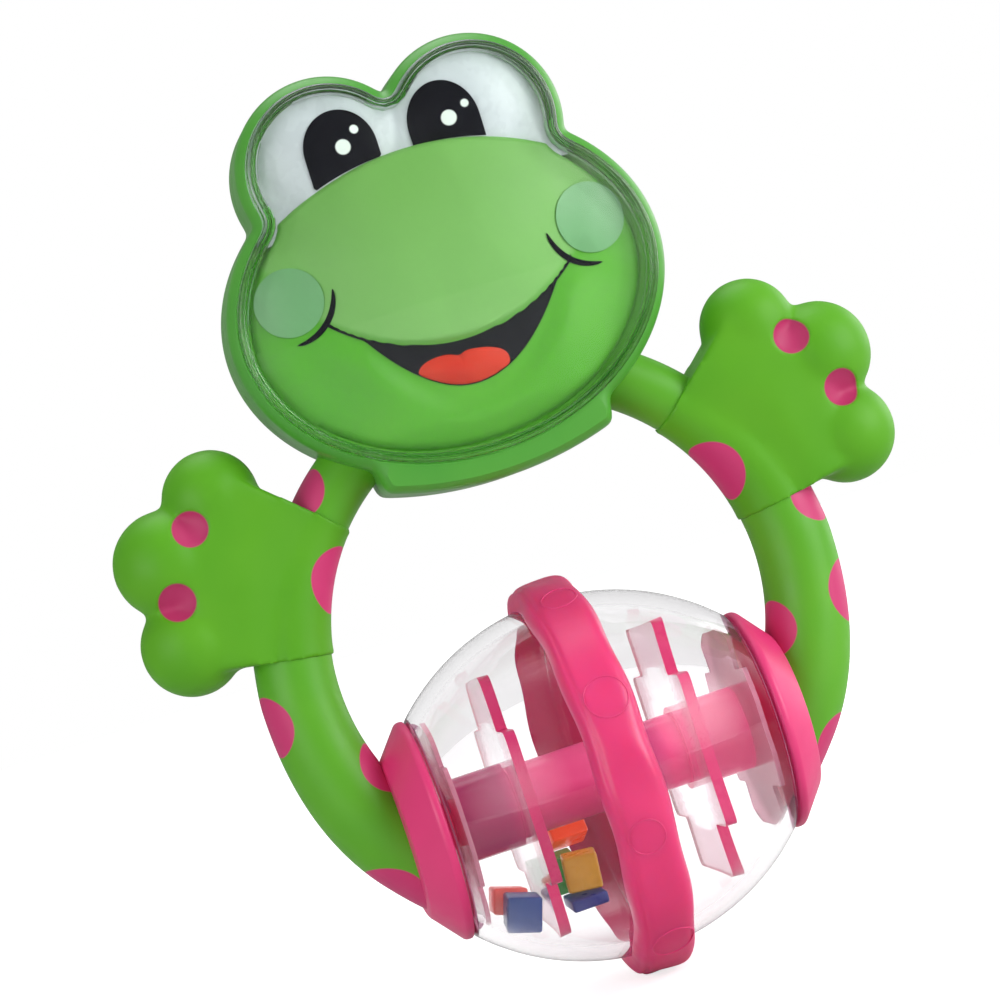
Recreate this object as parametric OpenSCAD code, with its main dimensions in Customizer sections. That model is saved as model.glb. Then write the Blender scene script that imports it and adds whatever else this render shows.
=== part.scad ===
// Frog rattle: a hand ring of two arms, clamped in a frog's head with a clear face window.
// A clear ball with loose beads turns between the lower ends of the arms.
// Millimetres. The origin is the middle of the hand ring, +Z runs up to the head, the face looks to -Y.

/* [Hand ring] */
// Inner radius of the ring that the hand goes through
ring_r = 36.5; // [33:0.5:46]
// Thickness of each arm between head and hand
arm_top_d = 10.3; // [8.5:0.1:11]
// Thickness of each arm between hand and collar
arm_low_d = 14; // [12.5:0.1:17]
// How much further out the thin part of an arm starts
arm_step = 0.4; // [0.3:0.1:1]
// Angle above level at which an arm ends inside the head
arm_end_angle = 64; // [60:1:68]

/* [Hands] */
// Angle above level at which the hand's sleeve sits on the arm's shoulder
hand_low_angle = 9.3; // [6:0.1:14]
// Angle above level at which the hand's sleeve ends towards the head
hand_high_angle = 42; // [38:0.5:45]
// Wall of the sleeve's upper end
sleeve_wall = 0.65; // [0.5:0.05:1.2]
// Height of the sleeve's lip over the thick part of the arm
sleeve_lip = 0.35; // [0.2:0.05:0.8]
// How far the palm reaches out from the middle of the arm
palm_reach = 15.5; // [14:0.1:18]
// Thickness of the palm
palm_t = 14; // [12:0.1:15]
// Distance of the outer toes' middles from the middle of the arm
toe_reach = 17.3; // [16:0.1:19]
// Radius of the upper toe
toe_high_r = 8.1; // [7:0.1:9.5]
// Radius of the middle toe
toe_mid_r = 9; // [8:0.1:10]
// Radius of the lower toe
toe_low_r = 8.5; // [7.5:0.1:9.5]
// Radius of the painted dimples between the toes
dimple_r = 3; // [2:0.1:3.6]

/* [Head] */
// Half width of the cheeks
head_half_w = 36.8; // [34:0.1:46]
// Half height of the cheeks
head_half_h = 28.8; // [26:0.1:34]
// Height of the head's middle above the top of the hand ring
head_rise = 19.7; // [18:0.1:22]
// Radius of each eye bulge
eye_r = 15.4; // [15:0.1:18]
// Half distance between the eye bulges
eye_x = 12.3; // [11.5:0.1:14]
// Height of the eye bulges above the head's middle
eye_rise = 24.9; // [24:0.1:30]
// Half width of the chin between the arms
chin_half_w = 20; // [17:0.1:21]
// How far the chin reaches below the cheeks
chin_drop = 2.7; // [2:0.1:4]
// Depth of the front shell
front_depth = 11; // [10:0.1:13]
// Depth of the back shell
back_depth = 9; // [8.5:0.1:12]
// Wall of both shells
wall = 1.8; // [1.4:0.1:2.2]
// Rounding of the front shell's rim
front_round = 3; // [2:0.1:4]
// Rounding of the back shell's edge
back_round = 4; // [3:0.1:4.5]

/* [Face] */
// Rim of the front shell that shows round the window
rim_w = 2.5; // [2.3:0.1:3.2]
// Width of the window's raised edge
bead_w = 1.9; // [1.5:0.1:2.4]
// Height of the window's raised edge in front of the shell
bead_h = 1.4; // [0.8:0.1:2.5]
// Thickness of the window
pane_t = 1.5; // [1:0.1:2]
// How far the window's dome stands in front of the shell
pane_bulge = 6; // [5.6:0.1:8]
// Thickness of the face plate and the eye panel
plate_t = 1.4; // [1:0.1:1.6]
// Relief of the muzzle over the face plate
muzzle_h = 3.5; // [2:0.1:3.6]
// Radius of the cheek buttons
cheek_r = 5.2; // [4:0.1:5.6]
// Radius of the pupils
pupil_r = 6.65; // [5:0.05:7]
// Thickness of the painted pieces on the face
inlay_t = 0.4; // [0.3:0.05:0.6]

/* [Ball] */
// Radius of the clear ball at its equator
ball_r = 30.2; // [27:0.1:36.5]
// Half length of the clear ball along its axle
ball_half_l = 28; // [24:0.1:32]
// Radius of the ball's flat ends
ball_end_r = 18.5; // [16:0.1:20]
// Wall of the clear ball
ball_wall = 2.4; // [1.8:0.1:3]
// Width of the soft band
band_w = 10.3; // [8:0.1:13]
// Height of the soft band over the ball
band_h = 3.5; // [2.5:0.1:4.5]
// Length of each collar along the axle
collar_l = 5.85; // [5:0.05:7]
// Radius of each collar where it meets the arm
collar_neck_r = 13.2; // [12.6:0.1:15]
// Radius of the stub axles
axle_r = 4; // [3:0.1:4.4]
// Length of the stub axles inside the ball
axle_l = 9; // [6:0.1:12]
// Radius of the inner tube
tube_r = 7.1; // [6.8:0.1:8.5]
// Distance of each divider disc from the equator
disc_x = 14.6; // [13.5:0.1:16]
// Width of the lobes that the notches leave on a divider disc
lobe_w = 29; // [24:0.5:33]
// Edge length of the loose blocks
block = 6.4; // [5:0.1:6.6]

/* [Fits] */
// Clearance of pieces that are pushed or glued together
fit = 0.05; // [0.03:0.01:0.1]
// Clearance of the axles in the ball's hubs
run_fit = 0.06; // [0.03:0.01:0.1]
// Gap between the ball's ends and the collars
end_gap = 0.35; // [0.3:0.05:0.6]

/* [Hidden] */
$fn = 96;

// Arms and axle
arm_top_r = arm_top_d / 2;
arm_low_r = arm_low_d / 2;
arm_top_mid = ring_r + arm_step + arm_top_r;
arm_low_mid = ring_r + arm_low_r;
collar_in_x = ball_half_l + end_gap;
collar_out_x = collar_in_x + collar_l;
axle_z = -sqrt(arm_low_mid * arm_low_mid - collar_out_x * collar_out_x);
collar_boss = 3;
spigot_r = 3;
spigot_l = 4.6;
peg_r = 1.6;
peg_angle = arm_end_angle - 4.5;
seat_play = 0.5;
palm_play = 0.6;
saddle_h = 0.7;
weld = 0.5;

// Head outline
head_z = ring_r + head_rise;
eye_z = head_z + eye_rise;
chin_z = head_z - head_half_h - chin_drop;
chin_r = 62;
notch_z = eye_z + sqrt(eye_r * eye_r - eye_x * eye_x);
bridge_w = 9;
bridge_drop = 0.4;
bridge_slope = 1.1;
floor_t = wall + 0.4;

// Depths of the face, counted forward from the plane of the ring
lip_t = 1.6;
seat_z = front_depth - lip_t;
flange_t = 1.4;
flange_z = seat_z - flange_t;
pane_inset = rim_w + fit + bead_w;
pane_radius = 130;
pane_top = front_depth + pane_bulge;
face_mid = head_z + 5.8;
face_radius = 130;
pane_gap = 0.5;
face_top = pane_top - pane_t - pane_gap - muzzle_h;
ledge_t = 1.7;
ledge_z = flange_z - fit - ledge_t;
ledge_inset = wall + 3 * fit;
plate_inset = pane_inset + 1.5;

// Face drawing
brow_r = 47.4;
brow_mid = head_z - 22.2;
lip_low = head_z - 8.2;
lip_rise = 8.4;
jaw_r = 16.4;
jaw_mid = head_z + 0.9;
muzzle_mid = head_z + 9.8;
muzzle_radius = 50;
cheek_x = head_half_w - 10.6;
cheek_z = head_z + 5.6;
smile_half_w = cheek_x - 5.3;
lip_r = (smile_half_w * smile_half_w + lip_rise * lip_rise) / (2 * lip_rise);
lip_mid = lip_low + lip_r;
crease_r = 7.6;
crease_w = 0.7;
crease_top = -0.5;
smile_w = 0.9;
tongue_x = 3.9;
tongue_mid = jaw_mid - 13.3;
tongue_r = 4.2;
tongue_t = 1.5 * inlay_t;
tongue_gap = 0.3;
eyeball_x = eye_x - 1.8;
eyeball_z = eye_z + 2;
eyeball_r = 24;
eyeball_top = face_top - 0.1;
pupil_x = eye_x - 3.4;
pupil_z = eye_z + 1.9;

// Ball
barrel_drop = ball_r - ball_end_r;
barrel_r = (ball_half_l * ball_half_l + barrel_drop * barrel_drop) / (2 * barrel_drop);
barrel_mid = ball_r - barrel_r;
hub_r = axle_r + run_fit + 1.1;
hub_l = 4;
seam_lap = 2;
disc_t = 1.8;
disc_gap = 0.2;
disc_r = barrel_mid + sqrt(pow(barrel_r - ball_wall, 2) - pow(disc_x + disc_t / 2, 2)) - disc_gap;
block_round = 0.74 * block;

// Puts a front view drawing upright: x stays, y becomes height, z comes out towards the face
module upright() rotate([90, 0, 0]) children();

module mirrored(side) mirror([side < 0 ? 1 : 0, 0, 0]) children();

// Turns a drawing of radius and length about the ball's axle
module on_axle() translate([0, 0, axle_z]) rotate([0, 90, 0]) rotate_extrude() children();

// Curved tube in the plane of the ring
module ring_tube(mid, r, from, to)
    rotate(from) rotate_extrude(angle = to - from) translate([mid, 0]) circle(r);

// Half section of a disc whose front edge is rounded
module rim_section(r, low, high, round) {
    translate([0, low]) square([r, high - low - round]);
    translate([0, low]) square([r - round, high - low]);
    translate([r - round, high - round]) circle(round);
}

function bridge_top(inset) = notch_z - bridge_drop - bridge_slope * inset;

// Front view of the face, drawn in by the inset: cheeks, two eye bulges and the bridge between them
module face_outline(inset) {
    translate([0, head_z]) scale([1, (head_half_h - inset) / (head_half_w - inset)])
        circle(head_half_w - inset);
    for (side = [-1, 1])
        translate([side * eye_x, eye_z]) circle(eye_r - inset);
    translate([-bridge_w / 2, eye_z - eye_r / 2])
        square([bridge_w, bridge_top(inset) - eye_z + eye_r / 2]);
}

// Front view of the whole head, with the chin between the arms
module head_outline(inset) {
    face_outline(inset);
    intersection() {
        translate([0, chin_z + chin_r]) circle(chin_r - inset);
        translate([inset - chin_half_w, chin_z]) square([2 * (chin_half_w - inset), head_half_h]);
    }
}

// Solid of the face's outline with a rounded front edge
module face_pillow(inset, low, high, round) {
    squash = (head_half_h - inset) / (head_half_w - inset);
    translate([0, head_z]) scale([1, squash, 1])
        rotate_extrude() rim_section(head_half_w - inset, low, high, round);
    for (side = [-1, 1])
        translate([side * eye_x, eye_z])
            rotate_extrude() rim_section(eye_r - inset, low, high, round);
    translate([-bridge_w / 2, eye_z - eye_r / 2, low])
        cube([bridge_w, bridge_top(inset) - eye_z + eye_r / 2, high - low - round / 2]);
}

module head_pillow(low, high, round) {
    chin_angle = asin(chin_half_w / chin_r);
    face_pillow(0, low, high, round);
    translate([0, chin_z + chin_r]) rotate(-90 - chin_angle)
        rotate_extrude(angle = 2 * chin_angle) rim_section(chin_r, low, high, round);
}

// Room for both arms in the head
module arm_seats(gap)
    for (side = [-1, 1]) mirrored(side)
        ring_tube(arm_top_mid, arm_top_r + gap, hand_high_angle, arm_end_angle + seat_play);

module at_peg() translate(arm_top_mid * [cos(peg_angle), sin(peg_angle)]) children();

module head_front() color("limegreen") upright() difference() {
    head_pillow(0, front_depth, front_round);
    translate([0, 0, -1]) linear_extrude(seat_z + 1) head_outline(wall);
    linear_extrude(front_depth + 1) face_outline(rim_w);
    arm_seats(fit);
}

module head_back() color("limegreen") upright() {
    floor_z = floor_t - back_depth;
    seat_low = -arm_top_r - fit;
    post_top = seat_low + saddle_h;
    difference() {
        mirror([0, 0, 1]) head_pillow(0, back_depth, back_round);
        // Posts stay standing under the arm ends
        translate([0, 0, floor_z]) linear_extrude(post_top - floor_z) difference() {
            head_outline(wall);
            for (side = [-1, 1]) mirrored(side) at_peg() circle(2 * peg_r);
        }
        translate([0, 0, post_top]) linear_extrude(back_depth) head_outline(wall);
        arm_seats(fit);
    }
    // Pegs through the arms
    for (side = [-1, 1]) mirrored(side) at_peg()
        translate([0, 0, seat_low - weld]) cylinder(r = peg_r, h = arm_top_d + weld);
}

// Domed sheet over the face
module dome(radius, top, t)
    translate([0, face_mid, top - radius]) difference() {
        sphere(radius, $fn = 200);
        sphere(radius - t, $fn = 200);
    }

module face_window() color([0.85, 0.95, 0.9, 0.35]) upright() {
    difference() {
        union() {
            translate([0, 0, flange_z]) linear_extrude(flange_t) face_outline(wall + fit);
            face_pillow(rim_w + fit, flange_z, front_depth + bead_h, bead_w / 2);
        }
        linear_extrude(pane_top + 1) face_outline(pane_inset);
    }
    intersection() {
        dome(pane_radius, pane_top, pane_t);
        linear_extrude(pane_top + 1) face_outline(pane_inset - weld);
    }
}

// The brow line parts the eye panel from the face plate
module brow(gap) translate([0, brow_mid]) circle(brow_r + gap);

module face_sheet() {
    intersection() {
        dome(face_radius, face_top, plate_t);
        linear_extrude(face_top + 1) face_outline(plate_inset);
    }
    translate([0, 0, ledge_z]) linear_extrude(ledge_t) difference() {
        face_outline(ledge_inset);
        face_outline(plate_inset + weld);
    }
}

module at_cheek(side) translate([side * cheek_x, cheek_z]) children();

module muzzle_outline() difference() {
    intersection() {
        brow(0);
        translate([0, lip_mid]) circle(lip_r);
        face_outline(plate_inset);
    }
    for (side = [-1, 1])
        at_cheek(side) circle(crease_r + crease_w + 2 * fit);
}

module face_plate() color("forestgreen") upright() {
    intersection() {
        face_sheet();
        linear_extrude(front_depth + muzzle_h + 1) brow(0);
    }
    intersection() {
        translate([0, muzzle_mid, face_top + muzzle_h - muzzle_radius]) sphere(muzzle_radius, $fn = 200);
        translate([0, 0, flange_z + weld]) linear_extrude(muzzle_radius) muzzle_outline();
    }
}

module at_eyeball(side) translate([side * eyeball_x, eyeball_z, eyeball_top - eyeball_r]) children();

module eye_panel() color("whitesmoke") upright() difference() {
    union() {
        face_sheet();
        for (side = [-1, 1]) intersection() {
            at_eyeball(side) sphere(eyeball_r, $fn = 160);
            translate([0, 0, flange_z]) linear_extrude(face_top) intersection() {
                face_outline(plate_inset + 4 * fit);
                translate([side < 0 ? -head_half_w : 0, head_z]) square([head_half_w, 2 * head_half_h]);
            }
        }
    }
    translate([0, 0, -1]) linear_extrude(pane_top + 2) brow(fit);
}

module pupil(side) color([0.08, 0.07, 0.1]) upright() intersection() {
    at_eyeball(side) difference() {
        sphere(eyeball_r + inlay_t, $fn = 160);
        sphere(eyeball_r + fit, $fn = 160);
    }
    translate([0, 0, flange_z]) linear_extrude(face_top) difference() {
        translate([side * pupil_x, pupil_z]) circle(pupil_r);
        brow(3 * fit);
    }
}

module mouth_outline() {
    // Open mouth under the upper lip
    difference() {
        translate([0, jaw_mid]) circle(jaw_r);
        translate([0, lip_mid]) circle(lip_r + fit);
    }
    // Smile lines out to the cheeks
    intersection() {
        translate([0, lip_mid]) difference() {
            circle(lip_r + fit + smile_w);
            circle(lip_r + fit);
        }
        translate([-smile_half_w, jaw_mid - jaw_r]) square([2 * smile_half_w, jaw_r]);
    }
    // Creases round the cheeks
    for (side = [-1, 1]) at_cheek(side) intersection() {
        difference() {
            circle(crease_r + crease_w);
            circle(crease_r);
        }
        translate([side < 0 ? 0 : -2 * crease_r, crease_top - 2 * crease_r]) square(2 * crease_r);
    }
}

module mouth() color([0.08, 0.07, 0.1]) upright() intersection() {
    dome(face_radius + inlay_t, face_top + inlay_t, inlay_t - fit);
    linear_extrude(pane_top) mouth_outline();
}

module tongue() color("tomato") upright() intersection() {
    dome(face_radius + inlay_t + tongue_t, face_top + inlay_t + tongue_t, tongue_t - fit);
    linear_extrude(pane_top) intersection() {
        translate([0, jaw_mid]) circle(jaw_r - tongue_gap);
        for (side = [-1, 1])
            translate([side * tongue_x, tongue_mid]) circle(tongue_r);
    }
}

module cheek(side) color([0.6, 0.8, 0.62, 0.8]) upright() intersection() {
    dome(face_radius + 1.5 * inlay_t, face_top + 1.5 * inlay_t, 1.5 * inlay_t - fit);
    linear_extrude(pane_top) intersection() {
        at_cheek(side) circle(cheek_r);
        face_outline(plate_inset + 0.7);
    }
}

module arm(side) color("yellowgreen") mirrored(side) difference() {
    union() {
        upright() ring_tube(arm_top_mid, arm_top_r, hand_low_angle - 4, arm_end_angle);
        intersection() {
            upright() ring_tube(arm_low_mid, arm_low_r, -70, hand_low_angle);
            translate([collar_out_x, -arm_low_d, -2 * ring_r]) cube([ring_r, 2 * arm_low_d, 4 * ring_r]);
        }
    }
    upright() at_peg() cylinder(r = peg_r + fit, h = 2 * arm_top_d, center = true);
    translate([collar_out_x - 1, 0, axle_z]) rotate([0, 90, 0])
        cylinder(r = spigot_r + fit, h = spigot_l + 1 + 4 * fit);
}

module hand(side) color("yellowgreen") mirrored(side) upright() {
    palm_angle = (hand_low_angle + hand_high_angle) / 2;
    shoulder_angle = palm_angle + 6;
    palm_end = arm_top_mid + palm_reach - palm_t / 2;
    // Each toe: angle above level, distance from the middle of the arm, radius
    toes = [
        [hand_high_angle - 4.4, toe_reach, toe_high_r],
        [palm_angle + 0.6, toe_reach + toe_mid_r / 2, toe_mid_r],
        [hand_low_angle + 4.7, toe_reach, toe_low_r]
    ];
    toe_mids = [for (toe = toes) (arm_top_mid + toe[1]) * [cos(toe[0]), sin(toe[0])]];
    difference() {
        union() {
            ring_tube(arm_low_mid, arm_low_r + sleeve_lip, hand_low_angle, shoulder_angle);
            rotate(shoulder_angle) translate([arm_low_mid, 0]) sphere(arm_low_r + sleeve_lip - fit);
            ring_tube(arm_top_mid, arm_top_r + sleeve_wall, shoulder_angle - 2, hand_high_angle);
            // Palm: a sector of a flat ring between the two ends of the sleeve
            rotate(hand_low_angle + palm_play)
                rotate_extrude(angle = hand_high_angle - hand_low_angle - 2 * palm_play) {
                polygon([
                    [arm_top_mid, -arm_top_r], [palm_end, -palm_t / 2], [palm_end, palm_t / 2],
                    [arm_top_mid, arm_top_r]
                ]);
                translate([palm_end, 0]) circle(palm_t / 2);
            }
            for (i = [0:2])
                translate(toe_mids[i]) sphere(toes[i][2]);
        }
        ring_tube(arm_top_mid, arm_top_r + fit, hand_low_angle - 2, hand_high_angle + 2);
        // Painted dimples in the clefts between the toes
        for (i = [0:1]) {
            cleft = (toe_mids[i] + toe_mids[i + 1]) / 2;
            translate([cleft[0], cleft[1], palm_t / 2 + dimple_r / 2]) sphere(1.25 * dimple_r);
        }
    }
}

module collar(side) color("deeppink") mirrored(side) {
    rim_r = ball_end_r + 0.2;
    edge = 1.2;
    on_axle() difference() {
        union() {
            polygon([
                [0, collar_in_x], [rim_r, collar_in_x], [rim_r, collar_in_x + edge],
                [collar_neck_r, collar_out_x], [0, collar_out_x]
            ]);
            translate([0, collar_in_x - axle_l]) square([axle_r, axle_l + 1]);
            translate([0, collar_out_x - 1]) square([spigot_r, spigot_l + 1]);
        }
        // Hollow that faces the ball
        translate([axle_r + collar_boss, collar_in_x - 1])
            square([collar_neck_r - axle_r - collar_boss, 1 + collar_l / 2]);
    }
}

// Half section of the solid barrel, drawn in by the inset
module barrel_section(inset) intersection() {
    translate([barrel_mid, 0]) circle(barrel_r - inset, $fn = 240);
    translate([0, inset - ball_half_l]) square([2 * ball_r, 2 * (ball_half_l - inset)]);
}

// Clear half: side 1 takes the inner lip of the seam, side -1 carries it
module ball_half(side) color([0.95, 0.97, 1, 0.3]) mirrored(side) on_axle() {
    difference() {
        barrel_section(0);
        barrel_section(ball_wall);
        translate([0, -ball_half_l - 1]) square([2 * ball_r, ball_half_l + 1]);
        square([axle_r + run_fit, ball_half_l + 1]);
        if (side > 0)
            square([ball_r - ball_wall / 2 + fit, seam_lap + fit]);
    }
    // Hub that the stub axle runs in
    translate([axle_r + run_fit, ball_half_l - ball_wall - hub_l])
        square([hub_r - axle_r - run_fit, hub_l + weld]);
    if (side < 0)
        translate([ball_r - ball_wall, -seam_lap]) square([ball_wall / 2, seam_lap + 1]);
}

module ball_band() color("hotpink") on_axle() difference() {
    crown_h = 1.7;
    crown_r = (band_w * band_w / 4 + crown_h * crown_h) / (2 * crown_h);
    intersection() {
        translate([ball_r - ball_wall, -band_w / 2]) square([ball_wall + band_h, band_w]);
        translate([ball_r + band_h - crown_r, 0]) circle(crown_r);
    }
    barrel_section(-fit);
}

// Divider disc of the ball's chambers, with a notch between each two lobes
module divider_outline() intersection() {
    circle(disc_r);
    union() {
        square([2 * ball_r, lobe_w], center = true);
        square([lobe_w, 2 * ball_r], center = true);
    }
}

module spool(side) color([1, 0.4, 0.65, 0.8]) mirrored(side) {
    difference() {
        union() {
            on_axle() square([tube_r, ball_half_l - ball_wall - fit]);
            translate([disc_x - disc_t / 2, 0, axle_z]) rotate([0, 90, 0])
                linear_extrude(disc_t) divider_outline();
        }
        translate([-1, 0, axle_z]) rotate([0, 90, 0]) cylinder(r = hub_r + fit, h = ball_half_l);
    }
}

// Radius of the clear wall's inside at a distance from the equator
function inside_at(x) = barrel_mid + sqrt(barrel_r * barrel_r - x * x) - ball_wall;

// Loose block at its place along and across the axle and over the wall's lowest line, turned by the angles
module bead(place, turn, height = block)
    translate([place[0], place[1], axle_z - inside_at(place[0]) + place[2]]) rotate(turn) intersection() {
        cube([block, block, height], center = true);
        sphere(block_round);
    }

module bead_yellow() color("goldenrod") bead([-7.5, 6.7, 12.45], [4, 0, 3]);
module bead_orange() color("orangered") bead([-6.4, 16, 19.95], [-20, 0, 5]);
module bead_green() color("seagreen") bead([-9.8, 14.2, 11.75], [8, 0, 0]);
module bead_navy() color("navy") bead([-7.7, 6, 7.5], [8, 0, 4], block / 3);
module bead_red() color("indianred") bead([-21.2, 5.2, 7.6], [0, 0, 3]);
module bead_blue() color("royalblue") bead([-18.8, -1.5, 6.2], [4, 0, 0]);

module arm_left() arm(-1);
module arm_right() arm(1);
module hand_left() hand(-1);
module hand_right() hand(1);
module pupil_left() pupil(-1);
module pupil_right() pupil(1);
module cheek_left() cheek(-1);
module cheek_right() cheek(1);
module collar_left() collar(-1);
module collar_right() collar(1);
module ball_half_left() ball_half(-1);
module ball_half_right() ball_half(1);
module spool_left() spool(-1);
module spool_right() spool(1);

head_front();
head_back();
face_window();
face_plate();
eye_panel();
pupil_left();
pupil_right();
mouth();
tongue();
cheek_left();
cheek_right();
arm_left();
arm_right();
hand_left();
hand_right();
collar_left();
collar_right();
ball_half_left();
ball_half_right();
ball_band();
spool_left();
spool_right();
bead_yellow();
bead_orange();
bead_green();
bead_navy();
bead_red();
bead_blue();
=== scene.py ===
import math

import bmesh
import bpy
from mathutils import Matrix, Vector


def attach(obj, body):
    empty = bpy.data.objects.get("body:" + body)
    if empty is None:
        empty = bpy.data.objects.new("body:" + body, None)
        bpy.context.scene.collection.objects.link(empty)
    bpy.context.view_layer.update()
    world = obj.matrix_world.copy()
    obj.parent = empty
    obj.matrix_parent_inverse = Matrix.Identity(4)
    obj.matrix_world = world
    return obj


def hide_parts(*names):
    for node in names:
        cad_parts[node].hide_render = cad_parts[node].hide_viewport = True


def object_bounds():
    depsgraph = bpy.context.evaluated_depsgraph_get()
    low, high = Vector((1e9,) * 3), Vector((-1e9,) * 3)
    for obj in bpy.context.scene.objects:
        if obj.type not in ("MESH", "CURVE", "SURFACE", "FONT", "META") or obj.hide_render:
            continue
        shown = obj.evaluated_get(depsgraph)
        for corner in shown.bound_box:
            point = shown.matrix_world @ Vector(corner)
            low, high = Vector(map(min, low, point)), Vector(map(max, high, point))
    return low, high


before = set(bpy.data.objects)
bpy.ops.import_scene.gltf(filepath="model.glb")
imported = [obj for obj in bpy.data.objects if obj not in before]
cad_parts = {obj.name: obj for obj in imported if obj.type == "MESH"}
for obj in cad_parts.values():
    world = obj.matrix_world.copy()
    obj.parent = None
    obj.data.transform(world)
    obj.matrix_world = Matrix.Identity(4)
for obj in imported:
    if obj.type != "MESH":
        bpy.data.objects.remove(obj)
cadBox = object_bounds()
scene = bpy.context.scene
mm = 0.001
tiny = 1e-6
print("frame loaded:", len(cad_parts), "nodes")


# Small helpers for node trees

def wire(tree, source, target):
    tree.links.new(source, target)


def noiseField(tree, place, scale, detail):
    field = tree.nodes.new("ShaderNodeTexNoise")
    field.inputs["Scale"].default_value = scale
    field.inputs["Detail"].default_value = detail
    wire(tree, place, field.inputs["Vector"])
    return field.outputs["Fac"]


def remap(tree, value, fromLow, fromHigh, toLow, toHigh):
    span = tree.nodes.new("ShaderNodeMapRange")
    limits = {"From Min": fromLow, "From Max": fromHigh, "To Min": toLow, "To Max": toHigh}
    for name, number in limits.items():
        span.inputs[name].default_value = number
    wire(tree, value, span.inputs["Value"])
    return span.outputs["Result"]


def mixColours(tree, factor, first, second):
    mix = tree.nodes.new("ShaderNodeMix")
    mix.data_type = "RGBA"
    wire(tree, factor, mix.inputs[0])
    for socket, colour in ((mix.inputs[6], first), (mix.inputs[7], second)):  # the colour sockets
        if isinstance(colour, bpy.types.NodeSocket):
            wire(tree, colour, socket)
        else:
            socket.default_value = (*colour, 1)
    return mix.outputs[2]


def objectPlace(tree):
    return tree.nodes.new("ShaderNodeTexCoord").outputs["Object"]


def splitPlace(tree, place):
    split = tree.nodes.new("ShaderNodeSeparateXYZ")
    wire(tree, place, split.inputs[0])
    return split.outputs


def combine(tree, operation, first, second):
    node = tree.nodes.new("ShaderNodeMath")
    node.operation = operation
    wire(tree, first, node.inputs[0])
    wire(tree, second, node.inputs[1])
    return node.outputs[0]


def vectorMath(tree, operation, place, other=(0, 0, 0)):
    node = tree.nodes.new("ShaderNodeVectorMath")
    node.operation = operation
    node.inputs[1].default_value = other
    wire(tree, place, node.inputs[0])
    return node.outputs


# 1 inside the round spots, each given as x, y, z and radius
def spotMask(tree, spots, edge, squash=1):
    flat = vectorMath(tree, "MULTIPLY", objectPlace(tree), (1, squash, 1))["Vector"]
    mask = None
    for x, y, z, radius in spots:
        gap = vectorMath(tree, "DISTANCE", flat, (x * mm, y * mm * squash, z * mm))["Value"]
        one = remap(tree, gap, (radius - edge) * mm, (radius + edge) * mm, 1, 0)
        mask = one if mask is None else combine(tree, "MAXIMUM", mask, one)
    return mask


def paintOver(material, mask, paint):
    tree = material.node_tree
    target = tree.nodes["Principled BSDF"].inputs["Base Color"]
    wire(tree, mixColours(tree, mask, target.links[0].from_socket, paint), target)


# Painted glow: emission that stands in for light that tinted plastic scatters inside, and lifts parts that
# lie in shadow
def paintedGlow(material, colour, strength):
    shader = material.node_tree.nodes["Principled BSDF"]
    shader.inputs["Emission Color"].default_value = (*colour, 1)
    shader.inputs["Emission Strength"].default_value = strength


plainFinish = {
    "cloud": 60, "cloudBand": (0.35, 0.65), "haze": 350, "hazeBand": (0.3, 0.7), "spread": 0.05,
    "skin": 0.12, "skinDepth": 0.06, "grain": 2600, "ior": 1.48, "soft": 0, "depth": (1.5, 1.5, 1),
    "clear": 0,
}


# Moulded plastic or rubber: cloudy colour, hazy gloss and a fine skin
def mouldedFinish(name, ownLook):
    look = {**plainFinish, **ownLook}
    material = bpy.data.materials.new(name)
    material.use_nodes = True
    tree = material.node_tree
    shader = tree.nodes["Principled BSDF"]
    place = objectPlace(tree)
    cloud = remap(tree, noiseField(tree, place, look["cloud"], 2), *look["cloudBand"], 0, 1)
    wire(tree, mixColours(tree, cloud, look["colour"], look["shade"]), shader.inputs["Base Color"])
    haze = noiseField(tree, place, look["haze"], 4)
    rough, spread = look["rough"], look["spread"]
    gloss = remap(tree, haze, *look["hazeBand"], rough - spread, rough + spread)
    wire(tree, gloss, shader.inputs["Roughness"])
    skin = tree.nodes.new("ShaderNodeBump")
    skin.inputs["Strength"].default_value = look["skin"]
    skin.inputs["Distance"].default_value = look["skinDepth"] * mm
    wire(tree, noiseField(tree, place, look["grain"], 3), skin.inputs["Height"])
    wire(tree, skin.outputs["Normal"], shader.inputs["Normal"])
    shader.inputs["IOR"].default_value = look["ior"]
    shader.inputs["Subsurface Weight"].default_value = look["soft"]
    shader.inputs["Subsurface Radius"].default_value = [part * mm for part in look["depth"]]
    shader.inputs["Subsurface Scale"].default_value = 1
    shader.inputs["Transmission Weight"].default_value = look["clear"]
    return material


# Clear plastic that lets lamp light through
def clearFinish(name, look):
    material = mouldedFinish(name, look)
    tree = material.node_tree
    through = tree.nodes.new("ShaderNodeBsdfTransparent")
    through.inputs["Color"].default_value = (*look["passes"], 1)
    path = tree.nodes.new("ShaderNodeLightPath")
    mix = tree.nodes.new("ShaderNodeMixShader")
    wire(tree, path.outputs["Is Shadow Ray"], mix.inputs[0])
    wire(tree, tree.nodes["Principled BSDF"].outputs[0], mix.inputs[1])
    wire(tree, through.outputs[0], mix.inputs[2])
    wire(tree, mix.outputs[0], tree.nodes["Material Output"].inputs["Surface"])
    return material


# Small helpers for meshes, which are built in millimetres

def makePiece(name, bm, node, body, material, sharp=38):
    bmesh.ops.scale(bm, vec=(mm, mm, mm), verts=bm.verts)
    bmesh.ops.remove_doubles(bm, verts=bm.verts, dist=tiny)
    bmesh.ops.recalc_face_normals(bm, faces=bm.faces)
    mesh = bpy.data.meshes.new(name)
    bm.to_mesh(mesh)
    bm.free()
    mesh.shade_smooth()
    mesh.set_sharp_from_angle(angle=math.radians(sharp))
    mesh.materials.append(material)
    piece = bpy.data.objects.new(name, mesh)
    scene.collection.objects.link(piece)
    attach(piece, body)
    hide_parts(node)
    return piece


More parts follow.
